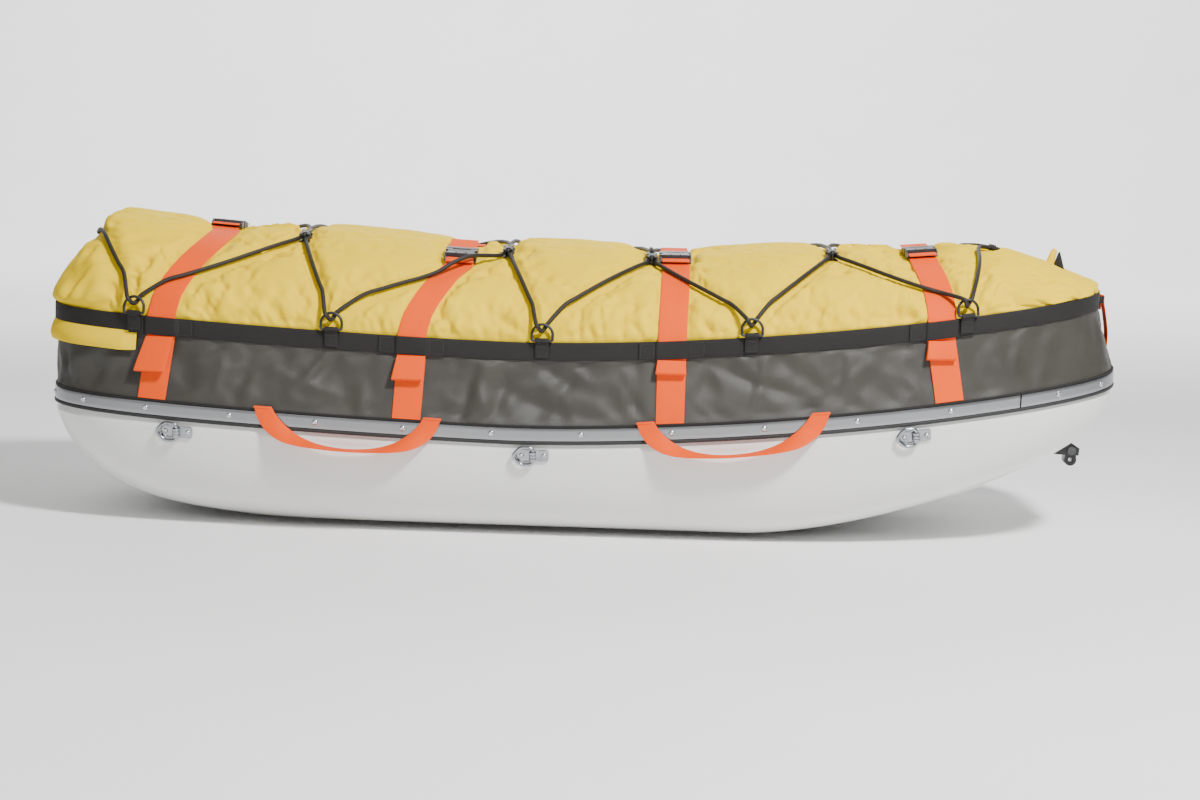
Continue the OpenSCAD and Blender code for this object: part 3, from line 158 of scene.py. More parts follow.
def on(o, u, d=0):
    """Point of outline o at unit point u, pushed out by d."""
    ux, uy = u[..., 0], u[..., 1]
    p = plan_p(ux)
    g = [np.sign(q) * np.abs(q) ** (p - 1) / half for q, half in ((ux, o[1]), (uy, o[2]))]
    return pts(o[0] + o[1] * ux, o[2] * uy) + np.asarray(d, float)[..., None] * unit(pts(*g))


def lift(p, z):
    return pts(p[..., 0], p[..., 1], z)


# Heights

def rim_z(x):
    x = np.asarray(x, float)
    bow = BOW_SHEER * (np.maximum(0, x + SHEER_BACK) / (HULL_L / 2 + SHEER_BACK)) ** 1.7
    stern = STERN_SHEER * (np.maximum(0, -x - SHEER_BACK) / (HULL_L / 2 - SHEER_BACK)) ** 1.45
    return RIM_H + np.where(x > -SHEER_BACK, bow, stern)


def web_z(x):
    return rim_z(x) + SKIRT_H


def web_top(x):
    return web_z(x) + WEB_H / 2


def floor_z(x):
    x = np.asarray(x, float)
    bow = BOW_RISE * (np.maximum(0, x - RISE_FROM) / (FLOOR_BOW - RISE_FROM)) ** 1.6
    stern = STERN_RISE * clamp1((FLOOR_STERN + STERN_RISE_RUN - x) / STERN_RISE_RUN) ** 2
    return RUNNER_H + bow + stern


def crown(x):
    waist = sum(STRAP_DIP * np.exp(-(((x - s[2]) / WAIST_L) ** 2)) for s in STRAPS)
    bow = (1 - clamp1((x - TOP_BOW + BOW_RUN) / BOW_RUN) ** 2) ** 1.2
    stern = 1 - clamp1((TOP_STERN + STERN_RUN - x) / STERN_RUN) ** 1.6
    high = mix(STERN_CROWN, BOW_CROWN, clamp1((x - CROWN_FROM) / (CROWN_TO - CROWN_FROM)))
    return (high - waist) * bow * stern


def arch(v):
    """Height of the cover's cross section as a share of its crown, at a share v of its half width."""
    return (1 - v**2.2) ** 0.55


def cover_half(x):
    return COVER[2] * u_half((np.asarray(x, float) - COVER[0]) / COVER[1])


def cover_z(x, y):
    h = cover_half(x)
    v = np.where(h < 0.01, 1, np.minimum(1, np.abs(y) / np.maximum(h, 0.01)))
    return web_top(x) + crown(x) * arch(v)


def cover_n(x, y):
    m = 0.985 * cover_half(x)
    q = np.clip(y, -m, m)
    slope = cover_z(x, q + 0.5) - cover_z(x, q - 0.5)
    return unit(pts(0, -slope, 1))


def cover_pt(x, a, side, d=0):
    """Point over the cover at angle a from the webbing to the top, on side -1 right or 1 left."""
    y = side * cover_half(x) * np.cos(a)
    return pts(x, y, cover_z(x, y)) + np.asarray(d, float)[..., None] * cover_n(x, y)


def rim_pt(u, d, z):
    p = on(RIM, u)
    return lift(on(RIM, u, d), rim_z(p[..., 0]) + z)


def top_pt(u, d, z):
    p = on(TOP, u)
    return lift(on(TOP, u, d), web_z(p[..., 0]) + z)


# Mesh building

def catmull(p, sub, closed=False):
    """Rows of numbers along a smooth curve through p."""
    p = np.asarray(p, float)
    n = len(p)
    idx = np.arange(n if closed else n - 1)
    get = (lambda i: p[i % n]) if closed else (lambda i: p[np.clip(i, 0, n - 1)])
    a, b, c, d = get(idx - 1), get(idx), get(idx + 1), get(idx + 2)
    t = (np.arange(sub) / sub)[None, :].reshape((1, sub) + (1,) * (p.ndim - 1))
    a, b, c, d = (q[:, None] for q in (a, b, c, d))
    r = 0.5 * (2 * b + (c - a) * t + (2 * a - 5 * b + 4 * c - d) * t**2
               + (3 * b - a - 3 * c + d) * t**3)
    r = r.reshape((-1,) + p.shape[1:])
    return r if closed else np.concatenate([r, p[-1:]])


def arc_len(p, closed=False):
    d = np.linalg.norm(np.diff(np.concatenate([p, p[:1]]) if closed else p, axis=0), axis=1)
    return np.concatenate([[0], np.cumsum(d)])


# Cross section of webbing: shares of its width and of its thickness, from one edge over the top
WEBBING_SECTION = [(0, .5), (.012, .86), (.05, 1), (.3, 1), (.5, 1), (.7, 1), (.95, 1), (.988, .86),
                   (1, .5), (.988, .14), (.95, 0), (.7, 0), (.5, 0), (.3, 0), (.05, 0), (.012, .14)]


class Shape:
    """Vertices in millimetres, faces, and a place on the cloth in millimetres for each face corner."""

    def __init__(self):
        self.verts, self.faces, self.uvs, self.n = [], [], [], 0

    def add(self, verts, faces, uvs=None):
        verts = np.asarray(verts, float).reshape(-1, 3)
        faces = [tuple(int(i) + self.n for i in f) for f in faces]
        self.verts.append(verts)
        self.faces += faces
        if uvs is None:
            uvs = [[(0.0, 0.0)] * len(f) for f in faces]
        self.uvs += [list(map(tuple, q)) for q in uvs]
        self.n += len(verts)
        return self

    def grid(self, p, wrap_i=False, wrap_j=False, u=None, v=None, caps=False):
        """Quads over an array of points (m, n, 3); caps closes both ends of a tube."""
        m, n = p.shape[:2]
        u = arc_len(p[:, n // 2], wrap_i) if u is None else u
        v = arc_len(p[m // 2], wrap_j) if v is None else v
        i, j = np.meshgrid(np.arange(m if wrap_i else m - 1), np.arange(n if wrap_j else n - 1),
                           indexing="ij")
        corners = [(i, j), (i + 1, j), (i + 1, j + 1), (i, j + 1)]
        f = np.stack([(a % m) * n + b % n for a, b in corners], -1).reshape(-1, 4)
        w = pts(u[:, None], v[None, :]) if u.ndim == 1 else pts(u, v)
        uv = np.stack([w[q] for q in corners], -2)
        faces, uvs = f.tolist(), uv.reshape(-1, 4, 2).tolist()
        if caps:
            faces += [list(range(n))[::-1], list(range((m - 1) * n, m * n))]
            uvs += [[(u[0], 0.0)] * n, [(u[-1], 0.0)] * n]
        return self.add(p, faces, uvs)

    def ribbon(self, low_l, low_r, n_l, n_r, t, closed=False, sub=1):
        """Webbing of thickness t from the edges of its lower face and the direction out of it."""
        rows = np.concatenate([low_l, low_r, n_l, n_r], -1)
        if sub > 1:
            rows = catmull(rows, sub, closed)
        a, b, na, nb = rows[:, 0:3], rows[:, 3:6], unit(rows[:, 6:9]), unit(rows[:, 9:12])
        p = np.stack([mix(a, b, q) + t * h * unit(mix(na, nb, q)) for q, h in WEBBING_SECTION], 1)
        width = float(np.linalg.norm(a[0] - b[0]))
        v = np.array([q * width for q, _ in WEBBING_SECTION] + [0.0])
        return self.grid(p, closed, True, arc_len(mix(a, b, 0.5), closed), v, caps=not closed)

    def tube(self, line, r, sides=12, closed=False):
        line = np.asarray(line, float)
        prev, nxt = np.roll(line, 1, 0), np.roll(line, -1, 0)
        if not closed:
            prev[0], nxt[-1] = line[0], line[-1]
        t = unit(nxt - prev)
        a = np.zeros_like(t)
        a[0] = unit(np.cross(t[0], [0.1, 0.2, 1]))
        for i in range(1, len(t)):
            a[i] = unit(a[i - 1] - t[i] * (a[i - 1] @ t[i]))
        b = np.cross(t, a)
        f = np.arange(sides) * TAU / sides
        r = np.broadcast_to(np.asarray(r, float), len(line))[:, None, None]
        c, s = np.cos(f)[None, :, None], np.sin(f)[None, :, None]
        p = line[:, None] + r * (c * a[:, None] + s * b[:, None])
        v = np.arange(sides + 1) * TAU / sides * float(r.max())
        return self.grid(p, closed, True, arc_len(line, closed), v, caps=not closed)

    def lathe(self, profile, place, seg=28):
        """Solid of revolution: profile rows are (radius, height along the third axis of place)."""
        f = np.arange(seg) * TAU / seg
        q = np.asarray(profile, float)
        p = pts(q[:, :1] * np.cos(f), q[:, :1] * np.sin(f), q[:, 1:] + 0 * f)
        return self.grid(place(p), False, True, caps=True)

    def block(self, lo, hi, place, r=0.8):
        """Box between two corners with rounded edges."""
        (x0, y0, z0), (x1, y1, z1) = lo, hi
        return self.prism([(x0, y0), (x1, y0), (x1, y1), (x0, y1)], z0, z1, place, r)

    def prism(self, outline, z0, z1, place, r=0.8):
        """Outline pulled from z0 to z1, with rounded edges."""
        bm = bmesh.new()
        low = [bm.verts.new((x, y, z0)) for x, y in outline]
        face = bm.faces.new(low)
        up = bmesh.ops.extrude_face_region(bm, geom=[face])["geom"]
        moved = [g for g in up if isinstance(g, bmesh.types.BMVert)]
        bmesh.ops.translate(bm, verts=moved, vec=(0, 0, z1 - z0))
        bmesh.ops.recalc_face_normals(bm, faces=bm.faces)
        bmesh.ops.bevel(bm, geom=list(bm.edges), offset=min(r, 0.45 * (z1 - z0)), segments=2,
                        profile=0.6, affect="EDGES", clamp_overlap=True)
        bm.verts.index_update()
        v = np.array([tuple(q.co) for q in bm.verts])
        f = [[q.index for q in g.verts] for g in bm.faces]
        bm.free()
        return self.add(place(v), f)


def placer(o, ex=(1, 0, 0), ey=(0, 1, 0), ez=(0, 0, 1)):
    m = np.stack([ex, ey, ez])
    o = np.asarray(o, float)
    return lambda p: np.asarray(p, float) @ m + o


def turned(put, x, y, z):
    """A direction in the frame of a placer."""
    return put([x, y, z]) - put([0, 0, 0])


def mirrored(shape):
    """The same shape on the other side of the sled."""
    made = Shape()
    for v in shape.verts:
        made.verts.append(v * [1, -1, 1])
    made.faces = [f[::-1] for f in shape.faces]
    made.uvs = [q[::-1] for q in shape.uvs]
    made.n = shape.n
    return made


def both(shape):
    other = mirrored(shape)
    return shape.add(np.concatenate(other.verts), other.faces, other.uvs)


def on_side(shape, side):
    return shape if side == "right" else mirrored(shape)


def piece(name, shape, material, body="sled", replaces=(), sharp=40, levels=0):
    verts = np.concatenate(shape.verts) * MM
    mesh = bpy.data.meshes.new(name)
    mesh.from_pydata(verts.tolist(), [], shape.faces)
    layer = mesh.uv_layers.new(name="cloth")
    layer.data.foreach_set("uv", (np.array([c for f in shape.uvs for c in f]) * MM).ravel())
    bm = bmesh.new()
    bm.from_mesh(mesh)
    bmesh.ops.remove_doubles(bm, verts=bm.verts, dist=1e-6)
    bmesh.ops.recalc_face_normals(bm, faces=bm.faces)
    bm.to_mesh(mesh)
    bm.free()
    mesh.shade_smooth()
    mesh.set_sharp_from_angle(angle=math.radians(sharp))
    mesh.materials.append(material)
    obj = bpy.data.objects.new(name, mesh)
    bpy.context.scene.collection.objects.link(obj)
    if levels:
        sub = obj.modifiers.new("finer", "SUBSURF")
        sub.levels = sub.render_levels = levels
    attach(obj, body)
    if replaces:
        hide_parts(*replaces)
    return obj


# Materials

def node(tree, kind, inputs=None, **props):
    n = tree.nodes.new(kind)
    for k, v in props.items():
        setattr(n, k, v)
    for k, v in (inputs or {}).items():
        if isinstance(v, bpy.types.NodeSocket):
            tree.links.new(v, n.inputs[k])
        else:
            n.inputs[k].default_value = v
    return n


def calc(tree, op, a, b=0.0, c=0.0):
    return node(tree, "ShaderNodeMath", {0: a, 1: b, 2: c}, operation=op).outputs[0]


def ramp(tree, fac, stops):
    n = node(tree, "ShaderNodeValToRGB", {0: fac})
    e = n.color_ramp.elements
    while len(e) < len(stops):
        e.new(0.5)
    for k, (pos, c) in enumerate(stops):
        e[k].position = pos
        e[k].color = (*c, 1)
    return n.outputs[0]


def shade(c, k):
    return tuple(min(1, x * k) for x in c)


def noise(tree, where, scale, detail, rough=0.5):
    given = {"Vector": where, "Scale": scale, "Detail": detail, "Roughness": rough}
    return node(tree, "ShaderNodeTexNoise", given).outputs[0]


def weave_height(t, uv, kind, along, across):
    """Height of the threads of a cloth, from -1 to 1."""
    xyz = node(t, "ShaderNodeSeparateXYZ", {0: uv}).outputs
    u = calc(t, "MULTIPLY", xyz[0], TAU / (along * MM))
    v = calc(t, "MULTIPLY", xyz[1], TAU / (across * MM))
    wave = lambda w: calc(t, "SINE", w)
    if kind == "plain":
        return calc(t, "MULTIPLY", wave(u), wave(v))
    if kind == "twill":
        return wave(calc(t, "ADD", u, v))
    if kind == "ripstop":
        cord = lambda w: calc(t, "POWER", calc(t, "MAXIMUM", wave(w), 0.0), 24.0)
        return calc(t, "MAXIMUM", cord(u), cord(v))
    return calc(t, "MAXIMUM", wave(calc(t, "ADD", u, v)), wave(calc(t, "SUBTRACT", u, v)))


def material(name, colour, rough, weave=None, vary=0.12, vary_scale=12, grain=(600, 0.15),
             metal=0.0, streak=None, spec=0.5, coat=0.0, rough_vary=0.08, extra=None, bump=0.3,
             bump_mm=0.4):
    """A finish with colour variation, roughness variation and a fine relief.

    weave is (kind, pitch along, pitch across) in millimetres on the cloth's own coordinates;
    the kinds are plain, twill, ripstop and braid.
    """
    m = bpy.data.materials.new(name)
    m.use_nodes = True
    t = m.node_tree
    bsdf = t.nodes["Principled BSDF"]
    where = node(t, "ShaderNodeTexCoord")
    obj_co, uv = where.outputs["Object"], where.outputs["UV"]
    big = noise(t, obj_co, vary_scale, 4.0, 0.55)
    fine = noise(t, obj_co, grain[0], 3.0)
    height = calc(t, "MULTIPLY", fine, grain[1])
    tone = big
    if streak:
        drawn = node(t, "ShaderNodeMapping", {"Vector": uv, "Scale": (*streak, 1.0)}).outputs[0]
        lines = noise(t, drawn, 1.0, 5.0, 0.65)
        height = calc(t, "ADD", height, calc(t, "MULTIPLY", lines, 0.6))
        tone = calc(t, "ADD", calc(t, "MULTIPLY", big, 0.4), calc(t, "MULTIPLY", lines, 0.6))
    if weave:
        cloth = calc(t, "MULTIPLY_ADD", weave_height(t, uv, *weave), 0.5, 0.5)
        height = calc(t, "ADD", height, cloth)
        tone = calc(t, "ADD", calc(t, "MULTIPLY", tone, 0.75), calc(t, "MULTIPLY", cloth, 0.25))
    stops = [(0.2, shade(colour, 1 - 1.6 * vary)), (0.5, colour), (0.8, shade(colour, 1 + vary))]
    base = ramp(t, tone, stops)
    if extra:
        base = extra(t, base, where)
    t.links.new(base, bsdf.inputs["Base Color"])
    rv = calc(t, "MULTIPLY_ADD", big, rough_vary * 2, rough - rough_vary)
    t.links.new(rv, bsdf.inputs["Roughness"])
    relief = {"Height": height, "Strength": bump, "Distance": bump_mm * MM}
    t.links.new(node(t, "ShaderNodeBump", relief).outputs[0], bsdf.inputs["Normal"])
    for key, value in (("Metallic", metal), ("Specular IOR Level", spec), ("Coat Weight", coat)):
        bsdf.inputs[key].default_value = value
    return m


def hull_painted_shade(t, base, where):
    """Painted shade: the laminate is mixed greyer towards the floor side, where the hull faces down,
    with faint clouds.
    """
    z = node(t, "ShaderNodeSeparateXYZ", {0: where.outputs["Object"]}).outputs[2]
    limits = {"Value": z, "From Min": 0.0, "From Max": 0.12, "To Min": 0.35, "To Max": 0.0}
    low = node(t, "ShaderNodeMapRange", limits).outputs[0]
    # painted shade: grey mixed in up to 35 % at the bottom, fading to none 120 mm up
    blend = {0: low, 6: base, 7: (0.66, 0.66, 0.62, 1)}
    return node(t, "ShaderNodeMix", blend, data_type="RGBA").outputs[2]


# The hull's finish carries painted shade, greyer towards its bottom.
M_HULL = material("laminate", (0.79, 0.79, 0.755), 0.33, vary=0.025, vary_scale=5, grain=(240, 0.5),
                  coat=0.35, extra=hull_painted_shade, bump=0.12, bump_mm=0.25)
M_RUNNER = material("runner_plastic", (0.74, 0.74, 0.70), 0.45, vary=0.05, vary_scale=20,
                    grain=(300, 0.5))
M_EDGE = material("edge_rubber", (0.018, 0.018, 0.018), 0.6, vary=0.3, grain=(900, 0.6))
M_BAND = material("band_aluminium", (0.34, 0.345, 0.355), 0.3, vary=0.16, vary_scale=6, metal=1.0,
                  streak=(3.0, 2600.0), rough_vary=0.1, bump=0.25, bump_mm=0.08)
M_SCREW = material("screw_steel", (0.62, 0.63, 0.65), 0.22, vary=0.16, vary_scale=90, metal=1.0,
                   bump=0.1)
M_ZINC = material("zinc_plated", (0.36, 0.38, 0.40), 0.25, vary=0.28, vary_scale=70, metal=1.0,
                  grain=(500, 0.8), bump=0.25)
M_SKIRT = material("skirt_fabric", (0.043, 0.040, 0.033), 0.48, weave=("twill", 1.3, 1.1), vary=0.2,
                   vary_scale=9, grain=(1300, 0.5), bump=0.35, bump_mm=0.25, spec=0.4)
M_WEB = material("black_webbing", (0.012, 0.011, 0.010), 0.7, weave=("plain", 1.9, 2.6), vary=0.3,
                 bump=0.6, bump_mm=0.35, spec=0.35)
M_PLASTIC = material("black_plastic", (0.018, 0.018, 0.018), 0.42, vary=0.25, vary_scale=60,
                     grain=(700, 0.5))
M_CORD = material("cord_sheath", (0.014, 0.012, 0.010), 0.55, weave=("braid", 3.4, 3.14), vary=0.3,
                  bump=0.7, bump_mm=0.4, spec=0.4)
M_ORANGE = material("orange_webbing", (0.88, 0.085, 0.0), 0.65, weave=("plain", 1.7, 2.2), vary=0.07,
                    vary_scale=16, grain=(900, 0.4), bump=0.5, bump_mm=0.3, spec=0.15)
M_BUCKLE = material("buckle_plastic", (0.030, 0.030, 0.033), 0.38, vary=0.25, vary_scale=60,
                    grain=(700, 0.6), bump=0.2)
M_COVER = material("cover_fabric", (0.88, 0.60, 0.0), 0.65, weave=("ripstop", 5.2, 5.2), vary=0.05,
                   vary_scale=7, grain=(1500, 0.35), bump=0.22, bump_mm=0.22, spec=0.06)
M_TOW = material("tow_plastic", (0.012, 0.012, 0.012), 0.36, vary=0.3, vary_scale=60,
                 grain=(500, 0.5))
M_PIN = material("pin_steel", (0.10, 0.10, 0.105), 0.3, vary=0.2, vary_scale=90, metal=1.0)
M_LOAD = material("load_fabric", (0.30, 0.28, 0.25), 0.8, weave=("plain", 2.0, 2.0), vary=0.2)
M_THREAD = material("stitch_thread", (0.035, 0.033, 0.031), 0.6, vary=0.2, vary_scale=80)

# Camera and light

VIEW_DISTANCE, VIEW_ELEVATION, VIEW_ROLL = 3.5, math.radians(7), math.radians(1.9)
VIEW_CENTRE = Vector((0.0181, 0, 0.170))
FOCAL_PX, IMAGE_W, SENSOR_W = 2319, 1200, 36


def look_at(obj, target, roll=0.0):
    q = (Vector(target) - obj.location).to_track_quat("-Z", "Y")
    obj.rotation_mode = "QUATERNION"
    obj.rotation_quaternion = (q.to_matrix() @ Matrix.Rotation(roll, 3, "Z")).to_quaternion()


camera = bpy.data.objects.new("camera", bpy.data.cameras.new("camera"))
camera.data.sensor_width = SENSOR_W
camera.data.sensor_fit = "HORIZONTAL"
camera.data.lens = SENSOR_W * FOCAL_PX / IMAGE_W
view_from = Vector((0, -math.cos(VIEW_ELEVATION), math.sin(VIEW_ELEVATION)))
camera.location = VIEW_CENTRE + VIEW_DISTANCE * view_from
look_at(camera, VIEW_CENTRE, VIEW_ROLL)
bpy.context.scene.collection.objects.link(camera)
bpy.context.scene.camera = camera


def area_light(name, place, target, size, power):
    data = bpy.data.lights.new(name, "AREA")
    data.shape, data.size, data.size_y, data.energy = "RECTANGLE", *size, power
    obj = bpy.data.objects.new(name, data)
    obj.location = place
    look_at(obj, target)
    bpy.context.scene.collection.objects.link(obj)


area_light("key", (1.5, -2.3, 3.0), (0.1, -0.1, 0.15), (0.5, 0.5), 250)
area_light("front", (-1.6, -3.4, 1.5), (0, 0, 0.2), (2.4, 1.6), 10)
area_light("top", (0, 0.6, 3.2), (0, 0, 0), (3.6, 1.6), 24)
area_light("back", (-0.8, 3.2, 1.5), (0, 0, 0.2), (3.0, 1.2), 20)
area_light("wall", (0, 3.4, 4.6), (0, 9, 2.2), (9.0, 1.5), 900)
world = bpy.data.worlds.new("studio")
bpy.context.scene.world = world
world.use_nodes = True
sky = world.node_tree.nodes["Background"].inputs
sky["Color"].default_value, sky["Strength"].default_value = (1, 1, 1, 1), 0.30


def stage_floor():
    """Pale floor with a wall that rises from it in a wide curve, in metres."""
    near, wall, height, half, r = -8.0, 9.0, 9.0, 12.0, 3
    line = [(wall - r + r * math.sin(a), r - r * math.cos(a)) for a in np.linspace(0, math.pi / 2, 24)]
    line = [(near, 0.0), *line, (wall, height)]
    p = np.array([[(x, y, z) for x in (-half, half)] for y, z in line])
    faces = [(2 * i, 2 * i + 1, 2 * i + 3, 2 * i + 2) for i in range(len(line) - 1)]
    mesh = bpy.data.meshes.new("studio_floor")
    mesh.from_pydata(p.reshape(-1, 3).tolist(), [], faces)
    mesh.shade_smooth()
    mesh.materials.append(material("studio_floor", (0.93, 0.93, 0.93), 0.8, vary=0.012, vary_scale=2,
                                   bump=0.02))
    obj = bpy.data.objects.new("studio_floor", mesh)
    obj.location = (0, 0, -0.0005)
    bpy.context.scene.collection.objects.link(obj)


stage_floor()

# Hull and runners

FLANGE_TOP = BAND_H / 2
FLANGE_LOW = -BAND_H / 2 - FIT - EDGE_H - 2
AROUND = 640
US = u_at(np.arange(AROUND) / AROUND)


def hull_pt(u, t, d=0.0):
    """Point of the hull's wall, d inside it: t runs from the ledge under the rim to the flat bottom."""
    r, k, b = (on((o[0], o[1] + out - d, o[2] + out - d), u)
               for o, out in ((RIM, LEDGE_OUT), (BILGE, 0), (FLOOR, 0)))
    edge = rim_z(r[..., 0]) + FLANGE_LOW - LEDGE_H
    bilge_top = rim_z(k[..., 0]) + FLANGE_LOW - LEDGE_H - 10
    p = [lift(r, edge), lift(k, np.minimum(floor_z(k[..., 0]) + BILGE_Z, bilge_top) + d),
         lift(b, floor_z(b[..., 0]) + d)]
    return (1 - t) ** 2 * p[0] + 2 * t * (1 - t) * p[1] + t * t * p[2]


def hull_bottom(d):
    """Rings that close the flat bottom, from its edge to the middle line."""
    edge = hull_pt(US, 1.0, d)
    return [edge * [1, k, 1] for k in (0.9, 0.7, 0.45, 0.2, 0.0)]


ts = np.concatenate([[0, 0.012], np.linspace(0.04, 1, 26)])
flange = [(-HULL_T, FLANGE_LOW), (-HULL_T, FLANGE_TOP), (0, FLANGE_TOP), (0, FLANGE_LOW),
          (0.6, FLANGE_LOW - 1.5)]
hull_rings = (hull_bottom(HULL_T)[::-1] + [hull_pt(US, t, HULL_T) for t in ts[::-1]]
              + [rim_pt(US, *q) for q in flange] + [hull_pt(US, t) for t in ts] + hull_bottom(0))
piece("hull_shell", Shape().grid(np.stack(hull_rings), wrap_j=True), M_HULL,
      replaces=["hull"], sharp=30)

TOW_X = FLOOR_BOW - 28


def runner(shape, x0, x1, y):
    """Moulded rail under the bottom: rounded edges, and both ends run out into the bottom."""
    x = np.linspace(x0, x1, 150)
    end = np.minimum(x - x0, x1 - x)
    h = RUNNER_H * np.minimum(1, 0.3 + end / 40)
    half = RUNNER_W / 2 * np.sqrt(clamp1(0.35 + end / 45))
    side = [(1, 0), (1, .25), (.97, .6), (.9, .88), (.8, 1)]
    section = [(-q, g) for q, g in side] + [(0, 1)] + side[::-1]
    p = np.stack([pts(x, y + q * half, floor_z(x) - h * g) for q, g in section], 1)
    shape.grid(p, wrap_j=True, caps=True)


rails = Shape()
for rail_y in (-RUNNER_Y, RUNNER_Y):
    runner(rails, FLOOR_STERN + 62, FLOOR_BOW - 122, rail_y)
runner(rails, FLOOR_STERN + 32, TOW_X - 52, 0)
piece("runner_rails", rails, M_RUNNER, replaces=["runners"])

# Rim

EDGE_TOP = -BAND_H / 2 - FIT


def rim_ring(section, us, wrap=True):
    """Sweep a section of (offset, height) pairs round the rim."""
    p = np.stack([rim_pt(us, d, z) for d, z in section], 1)
    return Shape().grid(p, wrap, True, caps=not wrap)


e0, e1 = EDGE_TOP - EDGE_H, EDGE_TOP
edge_section = [(FIT, e0), (FIT, e1), (EDGE_OUT - 1.6, e1), (EDGE_OUT - .5, e1 - .5),
                (EDGE_OUT, e1 - 1.8), (EDGE_OUT, e0 + 1.8), (EDGE_OUT - .5, e0 + .5),
                (EDGE_OUT - 1.6, e0)]
piece("rim_edge_strip", rim_ring(edge_section, US), M_EDGE, replaces=["rim_edge"])
h = BAND_H / 2
half = [(BAND_IN, h), (BAND_OUT - .7, h), (BAND_OUT - .2, h - .3), (BAND_OUT, h - 1), (BAND_OUT, 4)]
band_section = [(BAND_IN, -h), *half, (BAND_OUT, 0), *[(d, -z) for d, z in half[:0:-1]]]
for band, (s0, s1) in {"rim_band_left": (BOW_SEAM, 0.5), "rim_band_right": (0.5, 1 - BOW_SEAM),
                       "rim_band_bow": (-BOW_SEAM, BOW_SEAM)}.items():
    us = u_at(np.linspace(s0 + SEAM_GAP, s1 - SEAM_GAP, int(AROUND * (s1 - s0)) + 1))
    strip = rim_ring(band_section, us, wrap=False)
    piece(band + "_strip", strip, M_BAND, replaces=[band])

SCREW_XS = [-708, 664] + [-616 + 117.9 * i + 0.78 * i * i for i in range(10)]
SCREW_END_SHARES = [-0.045, -0.015, 0.015, 0.045, 0.455, 0.485, 0.515, 0.545]
SCREW_END = -BAND_OUT - HULL_T - 1
SCREW_HEAD = [(0, 1.1), (1.5, 1.1), (1.9, 1.9), (2.3, 2.05), (3.1, 1.75), (3.8, 1.1), (4.1, 0.35),
              (4.1, 0.0), (2, 0.0), (2, SCREW_END), (0, SCREW_END)]


def screw_frame(u):
    p = rim_pt(u, BAND_OUT, 0)
    out = unit(rim_pt(u, BAND_OUT + 1, 0) - p)
    along = unit(np.cross([0, 0, 1], out))
    return placer(p, along, np.cross(out, along), out)


screws = Shape()
screw_us = [u_x(RIM, x, k) for x in SCREW_XS for k in (-1, 1)] + [u_at(s) for s in SCREW_END_SHARES]
for u in screw_us:
    screws.lathe(SCREW_HEAD, screw_frame(u), 20)
piece("rim_screw_heads", screws, M_SCREW, replaces=["rim_screws"])

# Cloth folds

PERM = rng.permutation(256)
GRAD = unit(rng.normal(size=(256, 3)))


def gradient_noise(p):
    """Smooth noise from about -1 to 1 at points of any shape (..., 3), one lattice cell per unit."""
    i = np.floor(p).astype(int)
    f = p - i
    w = f * f * f * (f * (6 * f - 15) + 10)
    out = np.zeros(p.shape[:-1])
    for corner in itertools.product((0, 1), repeat=3):
        h, k = 0, 1
        for axis, step in enumerate(corner):
            h = PERM[(h + i[..., axis] + step) & 255]
            k = k * np.abs(1 - step - w[..., axis])
        out += k * np.sum(GRAD[h] * (f - corner), -1)
    return 1.7 * out


def value_noise(p, scale, octaves=3, seed=0.0):
    """Smooth noise from about -1 to 1 at points in millimetres."""
    q = np.asarray(p, float) / scale + np.array([seed, -seed, 2 * seed])
    return sum(0.5**k * gradient_noise(q * 2**k) for k in range(octaves))


def creases(p, scale, seed=0.0):
    """Cloth folds: narrow ridges between wide hollows, from about -1 to 1."""
    n = value_noise(p, scale, 2, seed)
    return 1.0 - 2.6 * np.sqrt(n * n + 0.006)


def folds(a, b, rows):
    """Ridges on a cloth with coordinates a and b.

    Each row is a place (two numbers), a direction, a length, a width and a height.
    """
    out = np.zeros_like(a)
    for a0, b0, turn, length, width, high in rows:
        c, s = math.cos(turn), math.sin(turn)
        along, across = (a - a0) * c + (b - b0) * s, -(a - a0) * s + (b - b0) * c
        bend = across - 0.0011 * along**2
        out += high * np.exp(-((along / length) ** 2) - (bend / width) ** 2)
    return out


# Skirt

SKIRT_FOLDS = 210
SKIRT_FREE = SKIRT_H - WEB_H / 2 - BAND_H / 2
fv = np.linspace(0, 1, 26)


def skirt_surface(u, f):
    low, high = rim_pt(u, SKIRT_OUT, BAND_H / 2), top_pt(u, SKIRT_T, -WEB_H / 2)
    return mix(low, high, f)


def skirt_shape():
    base = np.stack([skirt_surface(US, f) for f in fv], 1)
    x = base[:, :, 0]
    around = arc_len(base[:, 10], True)[:-1, None] + 0 * x
    up = fv[None, :] * SKIRT_FREE + 0 * x
    rows = [(rng.uniform(0, around.max()), rng.uniform(5, 90),
             rng.choice([-1, 1, 1]) * rng.uniform(0.3, 1.3), rng.uniform(24, 85),
             rng.uniform(5, 14), rng.uniform(-4.2, 3.4)) for _ in range(SKIRT_FOLDS)]
    d = folds(around, up, rows)
    d += 2.6 * value_noise(base, 95, 3, 3.1) + 1.6 * creases(base * [1, 1, 0.8], 62, 8.7)
    pucker = 1.3 * np.sin(around / 7.5 + 2.4 * np.sin(around / 61))
    pucker = pucker * np.exp(-((1 - fv[None, :]) / 0.14) ** 2)
    fade = smooth(fv / 0.16) * smooth((1 - fv) / 0.10)
    d = (d - 1.0) * fade[None, :] + pucker * smooth((1 - fv) / 0.03)[None, :]
    calm = np.ones_like(x)
    for s in STRAPS:
        near = np.abs(x - mix(s[0], s[1], fv[None, :])) / (STRAP_W / 2 + 14)
        calm = np.minimum(calm, smooth(near - 0.55))
    d = np.where(d > 0, d * calm, d * mix(0.35, 1, calm))
    out = unit(np.cross(np.roll(base, -1, 0) - np.roll(base, 1, 0), [0, 0, 1.0]))
    return base + d[..., None] * out


